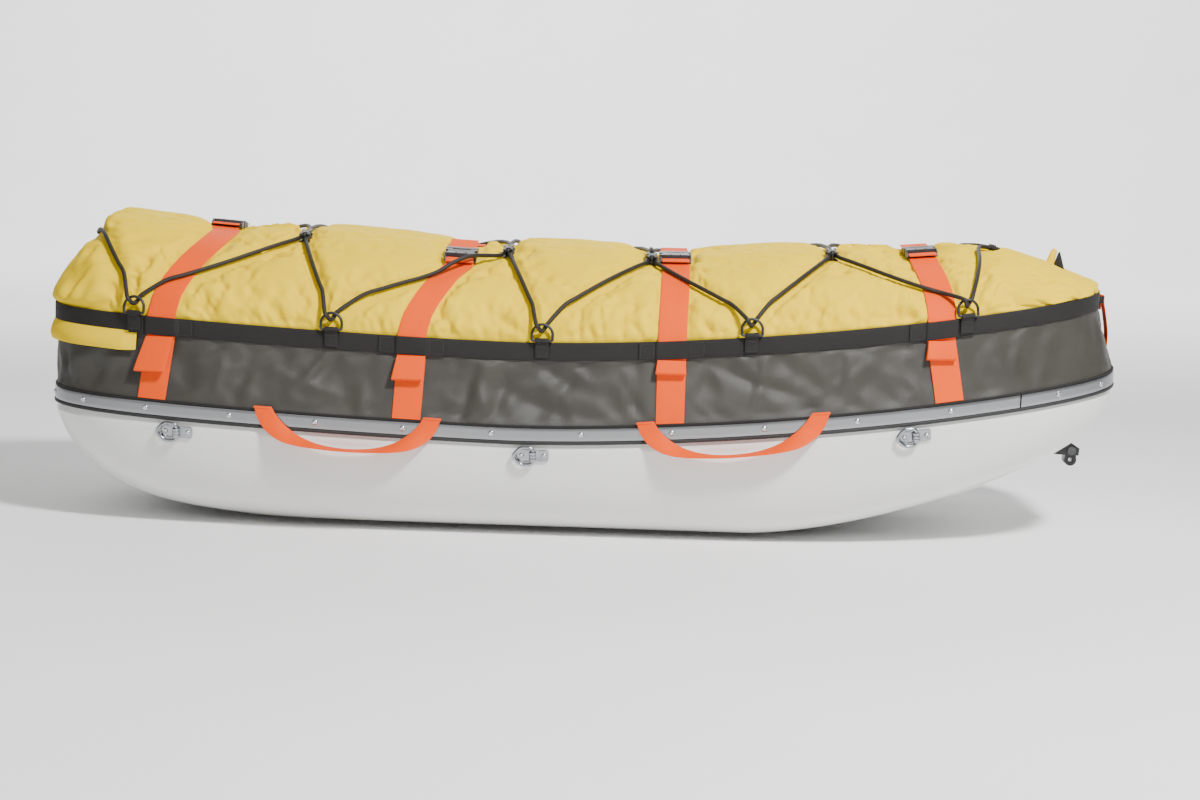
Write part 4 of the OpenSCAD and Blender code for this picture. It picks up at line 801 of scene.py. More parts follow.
hidden_low = np.stack([rim_pt(US, SKIRT_OUT, z) for z in (-7.0, 0.0)], 1)
hidden_high = np.stack([top_pt(US, SKIRT_T, z) for z in (0.0, WEB_H / 2)], 1)
cloth_rows = np.concatenate([hidden_low, skirt_shape(), hidden_high], 1)
skirt_obj = piece("skirt_cloth", Shape().grid(cloth_rows, wrap_i=True), M_SKIRT,
                  replaces=["skirt"], sharp=180)


def thicken(obj, t):
    mod = obj.modifiers.new("thickness", "SOLIDIFY")
    mod.thickness, mod.offset = t * MM, -1


thicken(skirt_obj, 0.9)

# Piping and webbing round the skirt

BEAD_Z = BAND_H / 2 + FIT
c0, c1, z0, z1 = SKIRT_OUT + FIT, BAND_OUT - .4, BEAD_Z, BEAD_Z + BEAD_H
bead = [(c0, z0), (c0, z1 - .8), (c0 + .6, z1), (c1 - .9, z1), (c1, z1 - .9), (c1, z0 + .6),
        (c1 - .6, z0)]
piece("skirt_piping", rim_ring(bead, US), M_WEB, replaces=["skirt_bead"])


def web_ring():
    turn = np.arange(AROUND) * TAU / AROUND
    wave = 0.28 * np.sin(37 * turn) + 0.2 * np.sin(61 * turn)
    low, high = top_pt(US, WEB_IN, -WEB_H / 2), top_pt(US, WEB_IN, WEB_H / 2)
    out = unit(top_pt(US, WEB_IN + 1, 0) - top_pt(US, WEB_IN, 0))
    low, high = low + pts(0, 0, wave), high + pts(0, 0, -0.6 * wave)
    return Shape().ribbon(low, high, out, out, WEB_T, closed=True)


piece("top_webbing_band", web_ring(), M_WEB, replaces=["top_webbing"])

# Straps

STRAP_FOOT = BEAD_Z + BEAD_H + FIT
FOOT_F = (STRAP_FOOT - BAND_H / 2) / SKIRT_FREE
BAR_Z = STRAP_T + FIT + BAR_D / 2
BAR_Y = BUCKLE_L / 2 - BAR_D / 2 - 0.5
WRAP_R = BAR_D / 2 + FIT
BUCKLE_LIFT = STRAP_LIFT + 0.8


def skirt_pt(x, f):
    a, b = on(RIM, u_x(RIM, x), SKIRT_OUT), on(TOP, u_x(TOP, x), SKIRT_T)
    return pts(x, mix(a[..., 1], b[..., 1], f), mix(rim_z(x) + BAND_H / 2, web_z(x) - WEB_H / 2, f))


def skirt_n(x):
    d = skirt_pt(x, 1) - skirt_pt(x, 0)
    return unit(pts(0, -d[..., 2], d[..., 1]))


def cover_x(s, a):
    return mix(s[1], s[2], smooth(np.degrees(a) / STRAP_TURN))


def buckle_frame(k):
    s = STRAPS[k]
    x, y = cover_x(s, math.radians(60)), s[3]
    dx = (cover_z(x + 20, y) - cover_z(x - 20, y)) / 40
    dy = (cover_z(x, y + 25) - cover_z(x, y - 25)) / 50
    ex = unit([1, 0, dx])
    n = unit(np.cross(ex, unit([0, 1, dy])))
    return np.array([x, y, cover_z(x, y)]) + n * BUCKLE_LIFT, ex, np.cross(n, ex), n


BUCKLES = [buckle_frame(k) for k in range(len(STRAPS))]


def wrap_rows(f, g, tail):
    """Webbing along a buckle's underside, round its bar and back, on side g of the buckle.

    Each row is the two edges of the webbing's lower face and the direction out of it.
    """
    put = placer(*f)
    ey, n = f[2:]
    w = STRAP_W / 2
    rows = [(put([-w, g * (BAR_Y + q), 0]), put([w, g * (BAR_Y + q), 0]), n) for q in (12, 3)]
    for a in np.radians(np.arange(0, 181, 15)):
        out = np.array([0, -g * math.sin(a), -math.cos(a)])
        q = np.array([0, g * BAR_Y, BAR_Z]) + (WRAP_R + STRAP_T) * out
        rows.append((put(q + [-w, 0, 0]), put(q + [w, 0, 0]), -(out[1] * ey + out[2] * n)))
    for y, dz in ((6, 0), (mix(6, tail, .5), -1.0), (tail, -1.2)):
        z = BAR_Z + WRAP_R + dz + STRAP_T
        rows.append((put([-w, g * (BAR_Y + y), z]), put([w, g * (BAR_Y + y), z]), -n))
    return rows


def strap_rows(k, a_end):
    """Stations of strap k from the rim over the webbing and the cover to angle a_end."""
    s, w, rows = STRAPS[k], STRAP_W / 2, []
    for f in (FOOT_F, 0.25, 0.5, 0.75, 0.97):
        x = mix(s[0], s[1], f)
        l, r = x - w, x + w
        rows.append((skirt_pt(l, f) + 0.7 * skirt_n(l), skirt_pt(r, f) + 0.7 * skirt_n(r), skirt_n(x)))
    for dz in (-WEB_H / 2, 0, WEB_H / 2 + 2):
        ends = []
        for x in (s[1] - w, s[1] + w):
            p = on(TOP, u_x(TOP, x), WEB_OUT + FIT)
            ends.append(pts(x, p[1], web_z(x) + dz))
        rows.append((*ends, np.array([0, -1.0, 0])))
    for a in np.radians(np.arange(14, math.degrees(a_end) - 4, 6)):
        x = cover_x(s, a)
        ends = [cover_pt(q, a, -1, STRAP_LIFT) for q in (x - w, x + w)]
        rows.append((*ends, cover_n(x, ends[0][1])))
    return rows


def reach_angle(k, y):
    """Angle over the cover at which strap k is at distance y across."""
    x = cover_x(STRAPS[k], math.radians(60))
    return math.acos(max(-1, min(1, -y / float(cover_half(x)))))


def ribbon_of(rows, t=STRAP_T, sub=3, shape=None):
    l, r, n = (np.stack([q[i] for q in rows]) for i in range(3))
    return (shape or Shape()).ribbon(l, r, n, n, t, sub=sub)


def orange(name, shape, replaced, body="sled"):
    return piece(name, shape, M_ORANGE, body=body, replaces=[replaced])


for k, f in enumerate(BUCKLES):
    put = placer(*f)
    angle = reach_angle(k, put([0, -BAR_Y - 16, 0])[1])
    right = ribbon_of(strap_rows(k, angle) + wrap_rows(f, -1, 15))
    orange(f"load_strap_right_{k + 1}", right, f"strap_right_{k + 1}")
    angle = math.pi - reach_angle(k, put([0, BAR_Y + BUCKLE_TRAVEL + 18, 0])[1])
    left = mirrored(ribbon_of(strap_rows(k, angle)))
    orange(f"load_strap_left_{k + 1}", left, f"strap_left_{k + 1}")
    orange(f"buckle_webbing_{k + 1}", ribbon_of(wrap_rows(f, 1, 44)), f"plug_loop_{k + 1}",
           body=f"buckle_plug_{k + 1}")

# Frames on the webbing and stitches

STITCH_STEP, STITCH_L, STITCH_R = 3.4, 2.4, 0.32


def web_frame(x, dz=0.0):
    """Place on the right hand webbing: X along it, Y outward, Z up, from the skirt's inner face."""
    u = u_x(TOP, x)
    p, q = on(TOP, u), on(TOP, u, 1)
    out = np.append(unit(q - p), 0)
    return placer(lift(p, web_z(x) + dz), np.array([-out[1], out[0], 0]), out, (0, 0, 1))


def stitches(shape, a, b, normal):
    """A row of thread stitches from a to b, lying on a face with that normal."""
    run = np.linalg.norm(b - a)
    d = (b - a) / run
    for i in range(int(run // STITCH_STEP)):
        c = a + d * (STITCH_STEP * (i + 0.5))
        line = [c + d * STITCH_L * q + h * normal
                for q, h in ((-1 / 2, -0.2), (-1 / 4, 0.22), (1 / 4, 0.22), (1 / 2, -0.2))]
        shape.tube(line, STITCH_R, 5)


keepers, thread = Shape(), Shape()
KEEP_LOW, KEEP_HIGH, KEEP_EDGE = WEB_OUT + FIT, WEB_OUT + 2 * FIT + STRAP_T, STRAP_W / 2 + 1.5
for s in STRAPS:
    half = [(KEEP_EDGE, KEEP_HIGH), (KEEP_EDGE + 2.4, KEEP_LOW), (KEEPER_L / 2, KEEP_LOW)]
    q = np.array([(-x, d) for x, d in half[::-1]] + [(0, KEEP_HIGH)] + half)
    k = np.linspace(0, 6, 49)
    xs, ds = (np.interp(k, np.arange(7), q[:, c]) for c in (0, 1))
    u = u_x(TOP, s[1] + xs)
    out = unit(top_pt(u, 1, 0) - top_pt(u, 0, 0))
    keepers.ribbon(top_pt(u, ds, -WEB_H / 2 - .2), top_pt(u, ds, WEB_H / 2 + .2), out, out, STRAP_T)
    for x0, x1 in ((-KEEPER_L / 2 + 2, -KEEP_EDGE - 4), (KEEP_EDGE + 4, KEEPER_L / 2 - 2)):
        middle = s[1] + (x0 + x1) / 2
        put = web_frame(middle)
        y, hx, hz = KEEP_LOW + STRAP_T, (x1 - x0) / 2, WEB_H / 2 - 3
        rise = float(web_z(middle + 1) - web_z(middle))
        corners = [put([a * hx, y, b * hz + a * hx * rise])
                   for a, b in ((-1, -1), (1, -1), (1, 1), (-1, 1))]
        n = unit(turned(put, 0, 1, 0))
        for i in range(4):
            stitches(thread, corners[i], corners[(i + 1) % 4], n)
piece("strap_keeper_webbing", both(keepers), M_WEB, replaces=["strap_keepers"])
piece("keeper_stitching", both(thread), M_THREAD)

# Folded strap ends

LEAN = math.atan(SKIRT_IN_SIDE / SKIRT_FREE)
FLAP_THICK, FLAP_TOP = 7.0, 2 * STRAP_T + 0.4
FLAP_SHEARS = [0.24, 0.14, 0.03, 0.08]
flaps = Shape()
for s, h, shear in zip(STRAPS, FLAP_DROPS, FLAP_SHEARS):
    x = s[1]
    r, t = FLAP_THICK / 2, STRAP_T
    line = [(t, 0.0), (t, (r - h) * .5), (t, r - h)]
    line += [(r - (r - t) * math.cos(a), r - h - (r - t) * math.sin(a))
             for a in np.linspace(0, math.pi, 9)[1:]]
    line += [(mix(FLAP_THICK - t, FLAP_TOP - t, .5) + 0.5, (r - h) * .5), (FLAP_TOP - t, 0.0)]
    line = np.array(line)
    tang = unit(np.gradient(line, axis=0))
    out = np.stack([tang[:, 1], -tang[:, 0]], 1)
    rise = abs(float(web_z(x + STRAP_W / 2) - web_z(x)))
    put = web_frame(x, -WEB_H / 2 - FIT - 0.8 - rise)
    c, sn = math.cos(LEAN), math.sin(LEAN)
    rows = []
    for (y, z), (ny, nz) in zip(line, out):
        flare = STRAP_W / 2 * (1 + 0.10 * clamp1(-z / h))
        mid = shear * z
        yy, zz = WEB_OUT + STRAP_T + 2 * FIT + y * c - z * sn, y * sn + z * c
        n = turned(put, 0, ny * c - nz * sn, ny * sn + nz * c)
        rows.append((put([mid - flare, yy, zz]), put([mid + flare * .96, yy, zz]), n))
    ribbon_of(rows, shape=flaps)
piece("strap_end_folds", both(flaps), M_ORANGE, replaces=["strap_flaps"])

# Cord rings and their tabs

TAB_T = 1.5


def ring_d(i):
    return WEB_OUT + FIT + RING_WIRE / 2 + FIT + TAB_T + RING_OVER[i] * (STRAP_T + FIT)


def d_ring_line(w, reach):
    """Middle line of a ring with a straight side on X and a round far side."""
    r = w / 2
    line = [(x, 0.0) for x in np.linspace(-r + 3, r - 3, 7)]
    line += [(r - 3 + 3 * math.sin(a), 3 - 3 * math.cos(a)) for a in np.linspace(0.3, math.pi / 2, 4)]
    line += [(r * math.cos(a), reach - r + r * math.sin(a)) for a in np.linspace(0, math.pi, 25)]
    line += [(-r + 3 - 3 * math.cos(a), 3 - 3 * math.sin(a))
             for a in np.linspace(0, math.pi / 2 - 0.3, 4)]
    return np.array(line)


rings, tabs, tab_thread = Shape(), Shape(), Shape()
for i, x in enumerate(RING_X):
    put = web_frame(x, WEB_H / 2)
    d = ring_d(i)
    q = d_ring_line(RING_W, RING_REACH)
    c, s = math.cos(RING_LEAN), math.sin(RING_LEAN)
    line = put(pts(q[:, 0], d - q[:, 1] * s, RING_UP + q[:, 1] * c))
    rings.tube(line, RING_WIRE / 2, 12, closed=True)
    eye = RING_WIRE / 2 + FIT
    rise = float(web_z(x + 1) - web_z(x))
    path = [(d - eye - TAB_T, z) for z in (-WEB_H + 4, -12, -4, RING_UP - 2)]
    path += [(d - eye * math.cos(a), RING_UP + eye * math.sin(a))
             for a in np.radians(np.arange(-20, 231, 25))]
    path = np.array(path)
    path[0:4, 0] += TAB_T
    path = np.concatenate([path, [(d - eye + 0.2, RING_UP - 7), (d - eye + 0.1, -WEB_H + 4)]])
    tang = unit(np.gradient(path, axis=0))
    rows = []
    for (y, z), (ty, tz) in zip(path, tang):
        edges = [put([w, y, z + rise * w]) for w in (-TAB_W / 2, TAB_W / 2)]
        rows.append((*edges, turned(put, 0, -tz, ty)))
    ribbon_of(rows, t=TAB_T, sub=2, shape=tabs)
    n = unit(turned(put, 0, 1, 0))
    y = d - eye + TAB_T + .1
    for z in (-WEB_H + 6, -5):
        stitches(tab_thread, put([-TAB_W / 2 + 2, y, z]), put([TAB_W / 2 - 2, y, z]), n)
piece("cord_ring_wires", both(rings), M_PLASTIC, replaces=["cord_rings"])
piece("ring_tab_webbing", both(tabs), M_WEB, replaces=["ring_tabs"])
piece("tab_stitching", both(tab_thread), M_THREAD)

# Lacing

CORD_H = STRAP_LIFT + STRAP_T + 0.9 + CORD_D / 2
BUMP_H = BUCKLE_H + 3
# Where the cord rises over each buckle: a place across from the buckle and a reach
RISE_OVER = [(8, 58), (-14, 84), (13, 52), (8, 58)]
# How the cord passes through a ring: along, outward and up from the ring's foot
RING_PATH = [(-9, 5.6, 24), (-5, 5.3, 18), (-1.5, 0, 13.5), (3, -5.4, 17), (8, -6.5, 25)]
LEG_A = math.radians(19)
POST_GAP, CLIP_ARC_R = 12, 6.9
STERN_CORD_X, END_X = TOP_STERN + 40, 596


def bump(x, y):
    out = 0.0
    for f, r in zip(BUCKLES, RISE_OVER):
        q = math.hypot((x - f[0][0]) / 52, (y - f[0][1] - r[0]) / r[1])
        out = max(out, float(clamp1(1.6 - 1.6 * q)))
    return BUMP_H * out


def cord_pt(x, a, side):
    p = cover_pt(x, a, side)
    return p + (CORD_H + bump(x, p[1])) * cover_n(x, p[1])


def ring_pt(x, side, dx, d, z):
    u = u_x(TOP, x)
    p = on(TOP, u)
    n = unit(on(TOP, u, 1) - p)
    q = p + dx * np.array([-n[1], n[0]]) + d * n
    return np.array([q[0], -side * q[1], float(web_top(x)) + z])


SEEN_RING = 0.02


def seen(a):
    """Height in the photo's view of a point over the cover at angle a, as a share of the crown."""
    return arch(abs(math.cos(a))) - 0.28 * math.cos(a)


def leg(x0, x1, a1, side):
    """Cord over the cover from a ring at x0 to x1 at angle a1, straight in the photo's view."""
    n = 9 if side < 0 else 13
    out = []
    for j in range(1, n + 1):
        a = mix(LEG_A, a1, 0.92 * j / n)
        f = (seen(a) - SEEN_RING) / (seen(a1) - SEEN_RING)
        out.append(cord_pt(mix(x0, x1, f), a, side))
    return out


def clip_frame(x):
    n = unit([-(cover_z(x + 8, CLIP_Y) - cover_z(x - 8, CLIP_Y)) / 16,
              -(cover_z(x, CLIP_Y + 10) - cover_z(x, CLIP_Y - 10)) / 20, 1])
    ex = unit(np.cross([0, 1, 0], n))
    o = np.array([x, CLIP_Y, float(cover_z(x, CLIP_Y))]) + (CORD_H + bump(x, CLIP_Y)) * n
    return placer(o, ex, np.cross(n, ex), n)


def clip_pass(x, side):
    put = clip_frame(x)
    return [put([CLIP_ARC_R * math.sin(a), side * (POST_GAP - CLIP_ARC_R * math.cos(a)), 0])
            for a in np.radians([-62, 0, 62])]


def ring_pass(i, side):
    lean = math.tan(RING_LEAN)
    return [ring_pt(RING_X[i], side, along, ring_d(i) - up * lean + out, RING_UP + up)
            for along, out, up in RING_PATH]


def side_pts(side):
    clip_a = math.acos((-CLIP_Y + 6 if side < 0 else CLIP_Y + 6) / float(cover_half(0)))
    line = leg(RING_X[0] - 9, STERN_CORD_X, math.radians(80), side)[::-1] + ring_pass(0, side)
    for i, x in enumerate(CLIP_X):
        line += leg(RING_X[i] + 9, x, clip_a, side) + clip_pass(x, side)
        line += leg(RING_X[i + 1] - 9, x, clip_a, side)[::-1] + ring_pass(i + 1, side)
    line += leg(RING_X[4] + 9, END_X - 30, math.radians(76), side)
    line += [np.array([END_X + q, side * w, float(cover_z(END_X + q, side * w)) + CORD_H])
             for q, w in ((-22, 26), (-8, 11), (6, 8))]
    return line


cord_line = side_pts(-1)[::-1] + [cord_pt(STERN_CORD_X, math.pi / 2, 1)] + side_pts(1)
cord_path = catmull(cord_line, 5)
cord_obj = piece("bungee_cord_sheath", Shape().tube(cord_path, CORD_D / 2, 14), M_CORD,
                 replaces=["bungee_cord"])

# Clips, knots and the end loop

clips = Shape()
for x in CLIP_X:
    put = clip_frame(x)
    arm = [(-8, -16), (-3.5, -16.5), (-2.6, -6), (2.6, -6), (3.5, -16.5), (8, -16), (6.4, -5),
           (4.2, 0), (6.4, 5)]
    arm += [(-x, -y) for x, y in arm]
    for z in (-CORD_D / 2 - 3.4, CORD_D / 2 + 1.5):
        clips.prism(arm, z, z + 1.9, put, 0.5)
    for y in (-POST_GAP, POST_GAP):
        p = placer(put([0, y, 0]), turned(put, 1, 0, 0), turned(put, 0, 1, 0), turned(put, 0, 0, 1))
        clips.lathe([(0, -5.6), (1.6, -5.6), (2, -5), (2, 5), (1.6, 5.6), (0, 5.6)], p, 16)
piece("cord_clip_crosses", clips, M_PLASTIC, replaces=["cord_clips"])

knots = Shape()
for side in (-1, 1):
    end, before = (cord_line[0], cord_line[1]) if side < 0 else (cord_line[-1], cord_line[-2])
    d = unit(before - end)
    a = unit(np.cross(d, [0, 0, 1]))
    b = np.cross(a, d)
    turn = np.linspace(0, 3 * TAU, 60)
    coil = 4.1 * (np.cos(turn)[:, None] * a + np.sin(turn)[:, None] * b)
    knots.tube(end + d * (2.4 + 7.2 * turn / turn[-1])[:, None] + coil, 1.45, 8)
    knots.tube([end - d * 5, end - d * 4.5, end - d * 1, end - d * 0.2], [1.8, 2.9, 3.1, 2.6], 12)
piece("cord_end_knots", knots, M_CORD, replaces=["cord_knots"])

loop_x = END_X + 9
slope = math.atan(float(cover_z(loop_x + 26, 0) - cover_z(loop_x, 0)) / 26)
put = placer([loop_x, 0, float(cover_z(loop_x, 0)) + 2], (math.cos(slope), 0, math.sin(slope)),
             (0, 1, 0), (-math.sin(slope), 0, math.cos(slope)))
end_loop = Shape()
frame_line = [(2, -11), (5, -15), (12, -15.2), (19, -15), (22, -11)]
frame_line += [(x, -y) for x, y in frame_line[::-1]]
end_loop.tube(put(pts(*np.array(catmull(frame_line, 5, True)).T, 0)), 1.95, 10, closed=True)
piece("cord_end_buckle", end_loop, M_PLASTIC, replaces=["cord_end_loop"])
tab_rows = [(put([x, 10, z]), put([x, -10, z]), turned(put, 0, 0, 1))
            for x, z in ((50, -1), (36, -1), (27, -.8), (24, 0.4), (22.5, 1.4), (21, 1.5))]
piece("cord_end_tab", ribbon_of(tab_rows, t=1.6), M_WEB)

# Cover

COVER_NX, COVER_NY, COVER_FINER = 190, 76, 3
MEAN_CROWN = 112
CLOTH_FRAMES = 24
BELOW = 8.0  # deepest hollow under the plain form
HEM_DOWN = 19.0


def cover_plan():
    """Grid over the cover: rows follow the outline, so that cells stay near square up to the edge."""
    nx, ny = COVER_NX, COVER_NY
    v = np.linspace(1, 0, 4001)
    z = MEAN_CROWN * arch(v)
    run = np.concatenate([[0], np.cumsum(np.hypot(np.diff(v * COVER[2]), np.diff(z)))])
    inset = COVER[2] * (1 - np.interp(np.linspace(0, run[-1], ny // 2 + 1), run, v))
    i, j = np.meshgrid(np.arange(nx + 1), np.arange(ny + 1), indexing="ij")
    k = np.minimum(np.minimum(i, nx - i), np.minimum(j, ny - j))
    e = inset[k]
    corner = lambda t: 2.0 ** (-1 / np.where(t < 0, STERN_POW, BOW_POW))
    long_side = k == np.minimum(j, ny - j)
    t = (i - nx / 2) / np.maximum(nx / 2 - k, 1e-9)
    ux = t * corner(t)
    uy = np.sign(j - ny / 2) * u_half(ux)
    q = (j - ny / 2) / np.maximum(ny / 2 - k, 1e-9)
    end = np.where(i < nx / 2, -1.0, 1.0)
    p = np.where(end < 0, STERN_POW, BOW_POW)
    vy = q * 2.0 ** (-1 / p)
    vx = end * (1 - np.abs(vy) ** p) ** (1 / p)
    ux, uy = np.where(long_side, ux, vx), np.where(long_side, uy, vy)
    return COVER[0] + (COVER[1] - e) * ux, (COVER[2] - e) * uy, k


def seg_distance(p, a, b):
    """Distance in plan from points to a segment."""
    d = b - a
    t = np.clip(((p - a) @ d) / max(float(d @ d), 1e-9), 0, 1)
    return np.linalg.norm(p - (a + t[:, None] * d), axis=1)


def cover_angle(x, y):
    return np.arccos(np.clip(np.abs(y) / np.maximum(cover_half(x), 1), 0, 1))


def cover_offsets(x, y):
    """Distances in plan from points to the nearest cord, and to the nearest strap or buckle."""
    p = np.stack([x, y], 1)
    cords = np.full(len(p), FAR)
    for a, b in zip(cord_line[:-1], cord_line[1:]):
        a, b = np.asarray(a)[:2], np.asarray(b)[:2]
        near = np.nonzero(np.all((p > np.minimum(a, b) - 45) & (p < np.maximum(a, b) + 45), 1))[0]
        cords[near] = np.minimum(cords[near], seg_distance(p[near], a, b))
    straps = np.full(len(p), FAR)
    angle = cover_angle(x, y)
    angle = np.where(y < 0, angle, np.minimum(angle * 1.2, math.pi / 2))
    for s in STRAPS:
        straps = np.minimum(straps, np.abs(x - cover_x(s, angle)) - STRAP_W / 2)
    for f in BUCKLES:
        along = np.abs(x - f[0][0]) - BUCKLE_W / 2 - 3
        across = np.abs(y - f[0][1] - BUCKLE_TRAVEL / 2 - 4) - BUCKLE_L / 2 - BUCKLE_TRAVEL / 2 - 6
        straps = np.minimum(straps, np.maximum(along, across))
    return cords, np.maximum(straps, 0)


def cover_cloth():
    """The cover before it swells.

    Returns, for each point, its ring from the edge, its place on the plain form and on the first
    form, whether it is held, and how free it is.
    """
    x, y, ring = cover_plan()
    grid = np.stack([x, y, cover_z(x, y)], -1)
    flat = grid.reshape(-1, 3)
    cords, straps = cover_offsets(flat[:, 0], flat[:, 1])
    edge = ring.reshape(-1) * 9.0
    free = smooth((cords - 3) / 26) * smooth((straps + 2) / 30) * smooth(edge / 34)
    nrm = unit(np.cross(np.gradient(grid, axis=0), np.gradient(grid, axis=1))).reshape(-1, 3)
    nrm *= np.sign(nrm[:, 2:3] + 1e-9)
    start = flat + nrm * (1.6 + 3.5 * free + 1.4 * free * value_noise(flat, 60, 3, 1.7))[:, None]
    held = (cords < 4) | (straps <= 0) | (ring.reshape(-1) == 0)
    return ring, flat, start, held, free


def simulate(mesh_obj, held):
    """Let the cloth swell between its cords and straps, and keep the result."""
    group = mesh_obj.vertex_groups.new(name="held")
    group.add([int(i) for i in np.nonzero(held)[0]], 1.0, "REPLACE")
    cloth = mesh_obj.modifiers.new("cloth", "CLOTH")
    st = cloth.settings
    st.quality, st.mass, st.air_damping = 6, 0.25, 2.0
    st.tension_stiffness = st.compression_stiffness = 18
    st.shear_stiffness, st.bending_stiffness = 6, 0.05
    st.use_pressure, st.uniform_pressure_force = True, 2.4
    st.shrink_min = st.shrink_max = -0.06
    st.vertex_group_mass = "held"
    st.effector_weights.gravity = 0.0
    cloth.collision_settings.use_collision = False
    cloth.point_cache.frame_start, cloth.point_cache.frame_end = 1, CLOTH_FRAMES
    scene = bpy.context.scene
    for f in range(1, CLOTH_FRAMES + 1):
        scene.frame_set(f)
    dg = bpy.context.evaluated_depsgraph_get()
    got = np.array([tuple(v.co) for v in mesh_obj.evaluated_get(dg).data.vertices]) / MM
    mesh_obj.modifiers.remove(cloth)
    scene.frame_set(1)
    return got


def fold_field(x, y, girth, half_girth):
    """Height of the folds that run from the rings, the clips, the straps and the hem."""
    out = np.zeros_like(x)
    hem = half_girth - np.abs(girth)
    side = np.sign(y)
    for k in (-1, 1):
        for i, rx in enumerate(RING_X):
            dx, up = x - rx, hem + 6
            r = np.hypot(dx, up)
            turn = np.arctan2(dx, up)
            ray = np.sin(9.0 * turn + 1.3 * i + 0.9 * k + 1.6 * np.sin(2.3 * turn + i))
            out += np.where(side == k, 5.0 * ray * np.exp(-((r / 100) ** 2)) * smooth((r - 14) / 26), 0)
        for i, cx in enumerate(CLIP_X):
            dx, dy = x - cx, y + k * CLIP_Y
            r = np.hypot(dx, dy)
            ray = np.sin(6 * np.arctan2(dx, dy) + 1.7 * i + 0.8 * np.sin(r / 31))
            out += np.where(side == k, 3.6 * ray * np.exp(-((r / 75) ** 2)) * smooth((r - 16) / 24), 0)
    angle = cover_angle(x, y)
    for i, st in enumerate(STRAPS):
        e = x - cover_x(st, angle)
        gap = np.abs(e) - STRAP_W / 2
        wave = gradient_noise(pts(girth / 17, i * 7.3 + np.sign(e) * 3.1, gap / 60))
        out += 5.0 * wave * np.exp(-((gap - 10) / 34) ** 2) * smooth(gap / 8)
    wave = gradient_noise(pts(x / 11, side * 5.7, hem / 45))
    out += 4.2 * wave * np.exp(-((hem - 8) / 28) ** 2) * smooth(hem / 5)
    return out


def make_cover():
    """Points of the finished cover, and their distances round it from its middle line."""
    ring, flat, start, held, free = cover_cloth()
    grid = (*ring.shape, 3)
    moved = start
    mesh = bpy.data.meshes.new("cover_trial")
    faces = Shape().grid(start.reshape(grid)).faces
    mesh.from_pydata((start * MM).tolist(), [], faces)
    trial = bpy.data.objects.new("cover_trial", mesh)
    bpy.context.scene.collection.objects.link(trial)
    got = simulate(trial, held)
    bpy.data.objects.remove(trial)
    step = got - start
    size = np.linalg.norm(step, axis=1)
    cap = 3.0 + 8.0 * free
    moved = start + step * np.minimum(1, cap / np.maximum(size, 1e-9))[:, None]
    fine_rows = lambda g: np.swapaxes(catmull(g, COVER_FINER), 0, 1)
    fine = lambda g: fine_rows(fine_rows(g))
    p = fine(moved.reshape(grid))
    base = fine(flat.reshape(grid))
    away = fine(ring.astype(float)[..., None])[..., 0]
    n = np.cross(np.gradient(base, axis=0), np.gradient(base, axis=1))
    n = unit(n * np.sign(n[..., 2:] + 1e-9))
    bx, by = base[..., 0], base[..., 1]
    steps = np.linalg.norm(np.diff(base, axis=1), axis=2)
    run = np.concatenate([0 * bx[:, :1], np.cumsum(steps, 1)], 1)
    half_girth = run[:, -1:] / 2
    girth = run - half_girth
    cords, straps = (q.reshape(bx.shape) for q in cover_offsets(bx.ravel(), by.ravel()))
    free = smooth((cords - 3) / 20) * smooth((straps + 1) / 16) * smooth(away / 2.2)
    warp = base + 14 * value_noise(base, 130, 2, 4.4)[..., None]
    d = 5.0 * creases(warp * [1, 1, 1.3], 105, 1.1) + 3.6 * creases(warp * [1.25, 1, 1], 47, 6.2)
    d += creases(warp, 19, 9.4) + fold_field(bx, by, girth, half_girth)
    stern_roll = np.exp(-(((bx - TOP_STERN - 13) / 12) ** 2))
    cord_dip = np.exp(-(((bx - STERN_CORD_X + 3) / 7) ** 2))
    d += 8.0 * (stern_roll - 0.55 * cord_dip) * smooth(away / 3)
    p = p + n * (d * (0.06 + 0.94 * free) * smooth(away / 1.2))[..., None]
    rise = np.sum((p - base) * n, -1)
    roof = mix(1.7, 14.0, smooth(free * 1.6))
    rise_to = np.where(rise > 0, roof * np.tanh(rise / roof), BELOW * np.tanh(rise / BELOW))
    p = p + n * (rise_to - rise)[..., None]
    p = np.where((away < 0.01)[..., None], base, p)
    return p, girth


def border(p):
    """Points round the edge of a grid, each once."""
    return np.concatenate([p[:-1, 0], p[-1, :-1], p[:0:-1, -1], p[0, :0:-1]])


cover_p, cover_girth = make_cover()
shape = Shape().grid(cover_p, u=cover_p[..., 0] - COVER[0], v=cover_girth)
edge_p = border(cover_p)
hem = np.stack([edge_p, edge_p - [0, 0, 6.0], edge_p - [0, 0, HEM_DOWN]], 1)
shape.grid(hem, wrap_i=True)
cover_obj = piece("cover_cloth", shape, M_COVER, replaces=["cover"], sharp=180)
thicken(cover_obj, 0.7)


# Flap of the cover round the stern

FLAP_H, FLAP_S = 25, 0.089


def stern_flap():
    s = np.linspace(0.5 - FLAP_S, 0.5 + FLAP_S, 150)
    u = u_at(s)
    n = unit(on(TOP, u, 1) - on(TOP, u))
    edge = clamp1((FLAP_S - np.abs(s - 0.5)) / 0.006)
    rows = []
    for f in np.linspace(0, 1, 14):
        drop = FLAP_H * f * mix(0.93, 1, np.sqrt(edge))
        belly = 4.6 * math.sin(math.pi * min(1, f * 0.85)) * smooth(edge)
        d = SKIRT_T + 1.9 + drop * math.tan(LEAN) * np.abs(n[:, 1]) + belly
        d += 0.9 * np.sin(s * 310 + 3 * f) * f
        rows.append(top_pt(u, d, -WEB_H / 2 - FIT - drop))
    rows.insert(0, top_pt(u, SKIRT_T + 0.6, -WEB_H / 2 + 3))
    return np.stack(rows, 1)


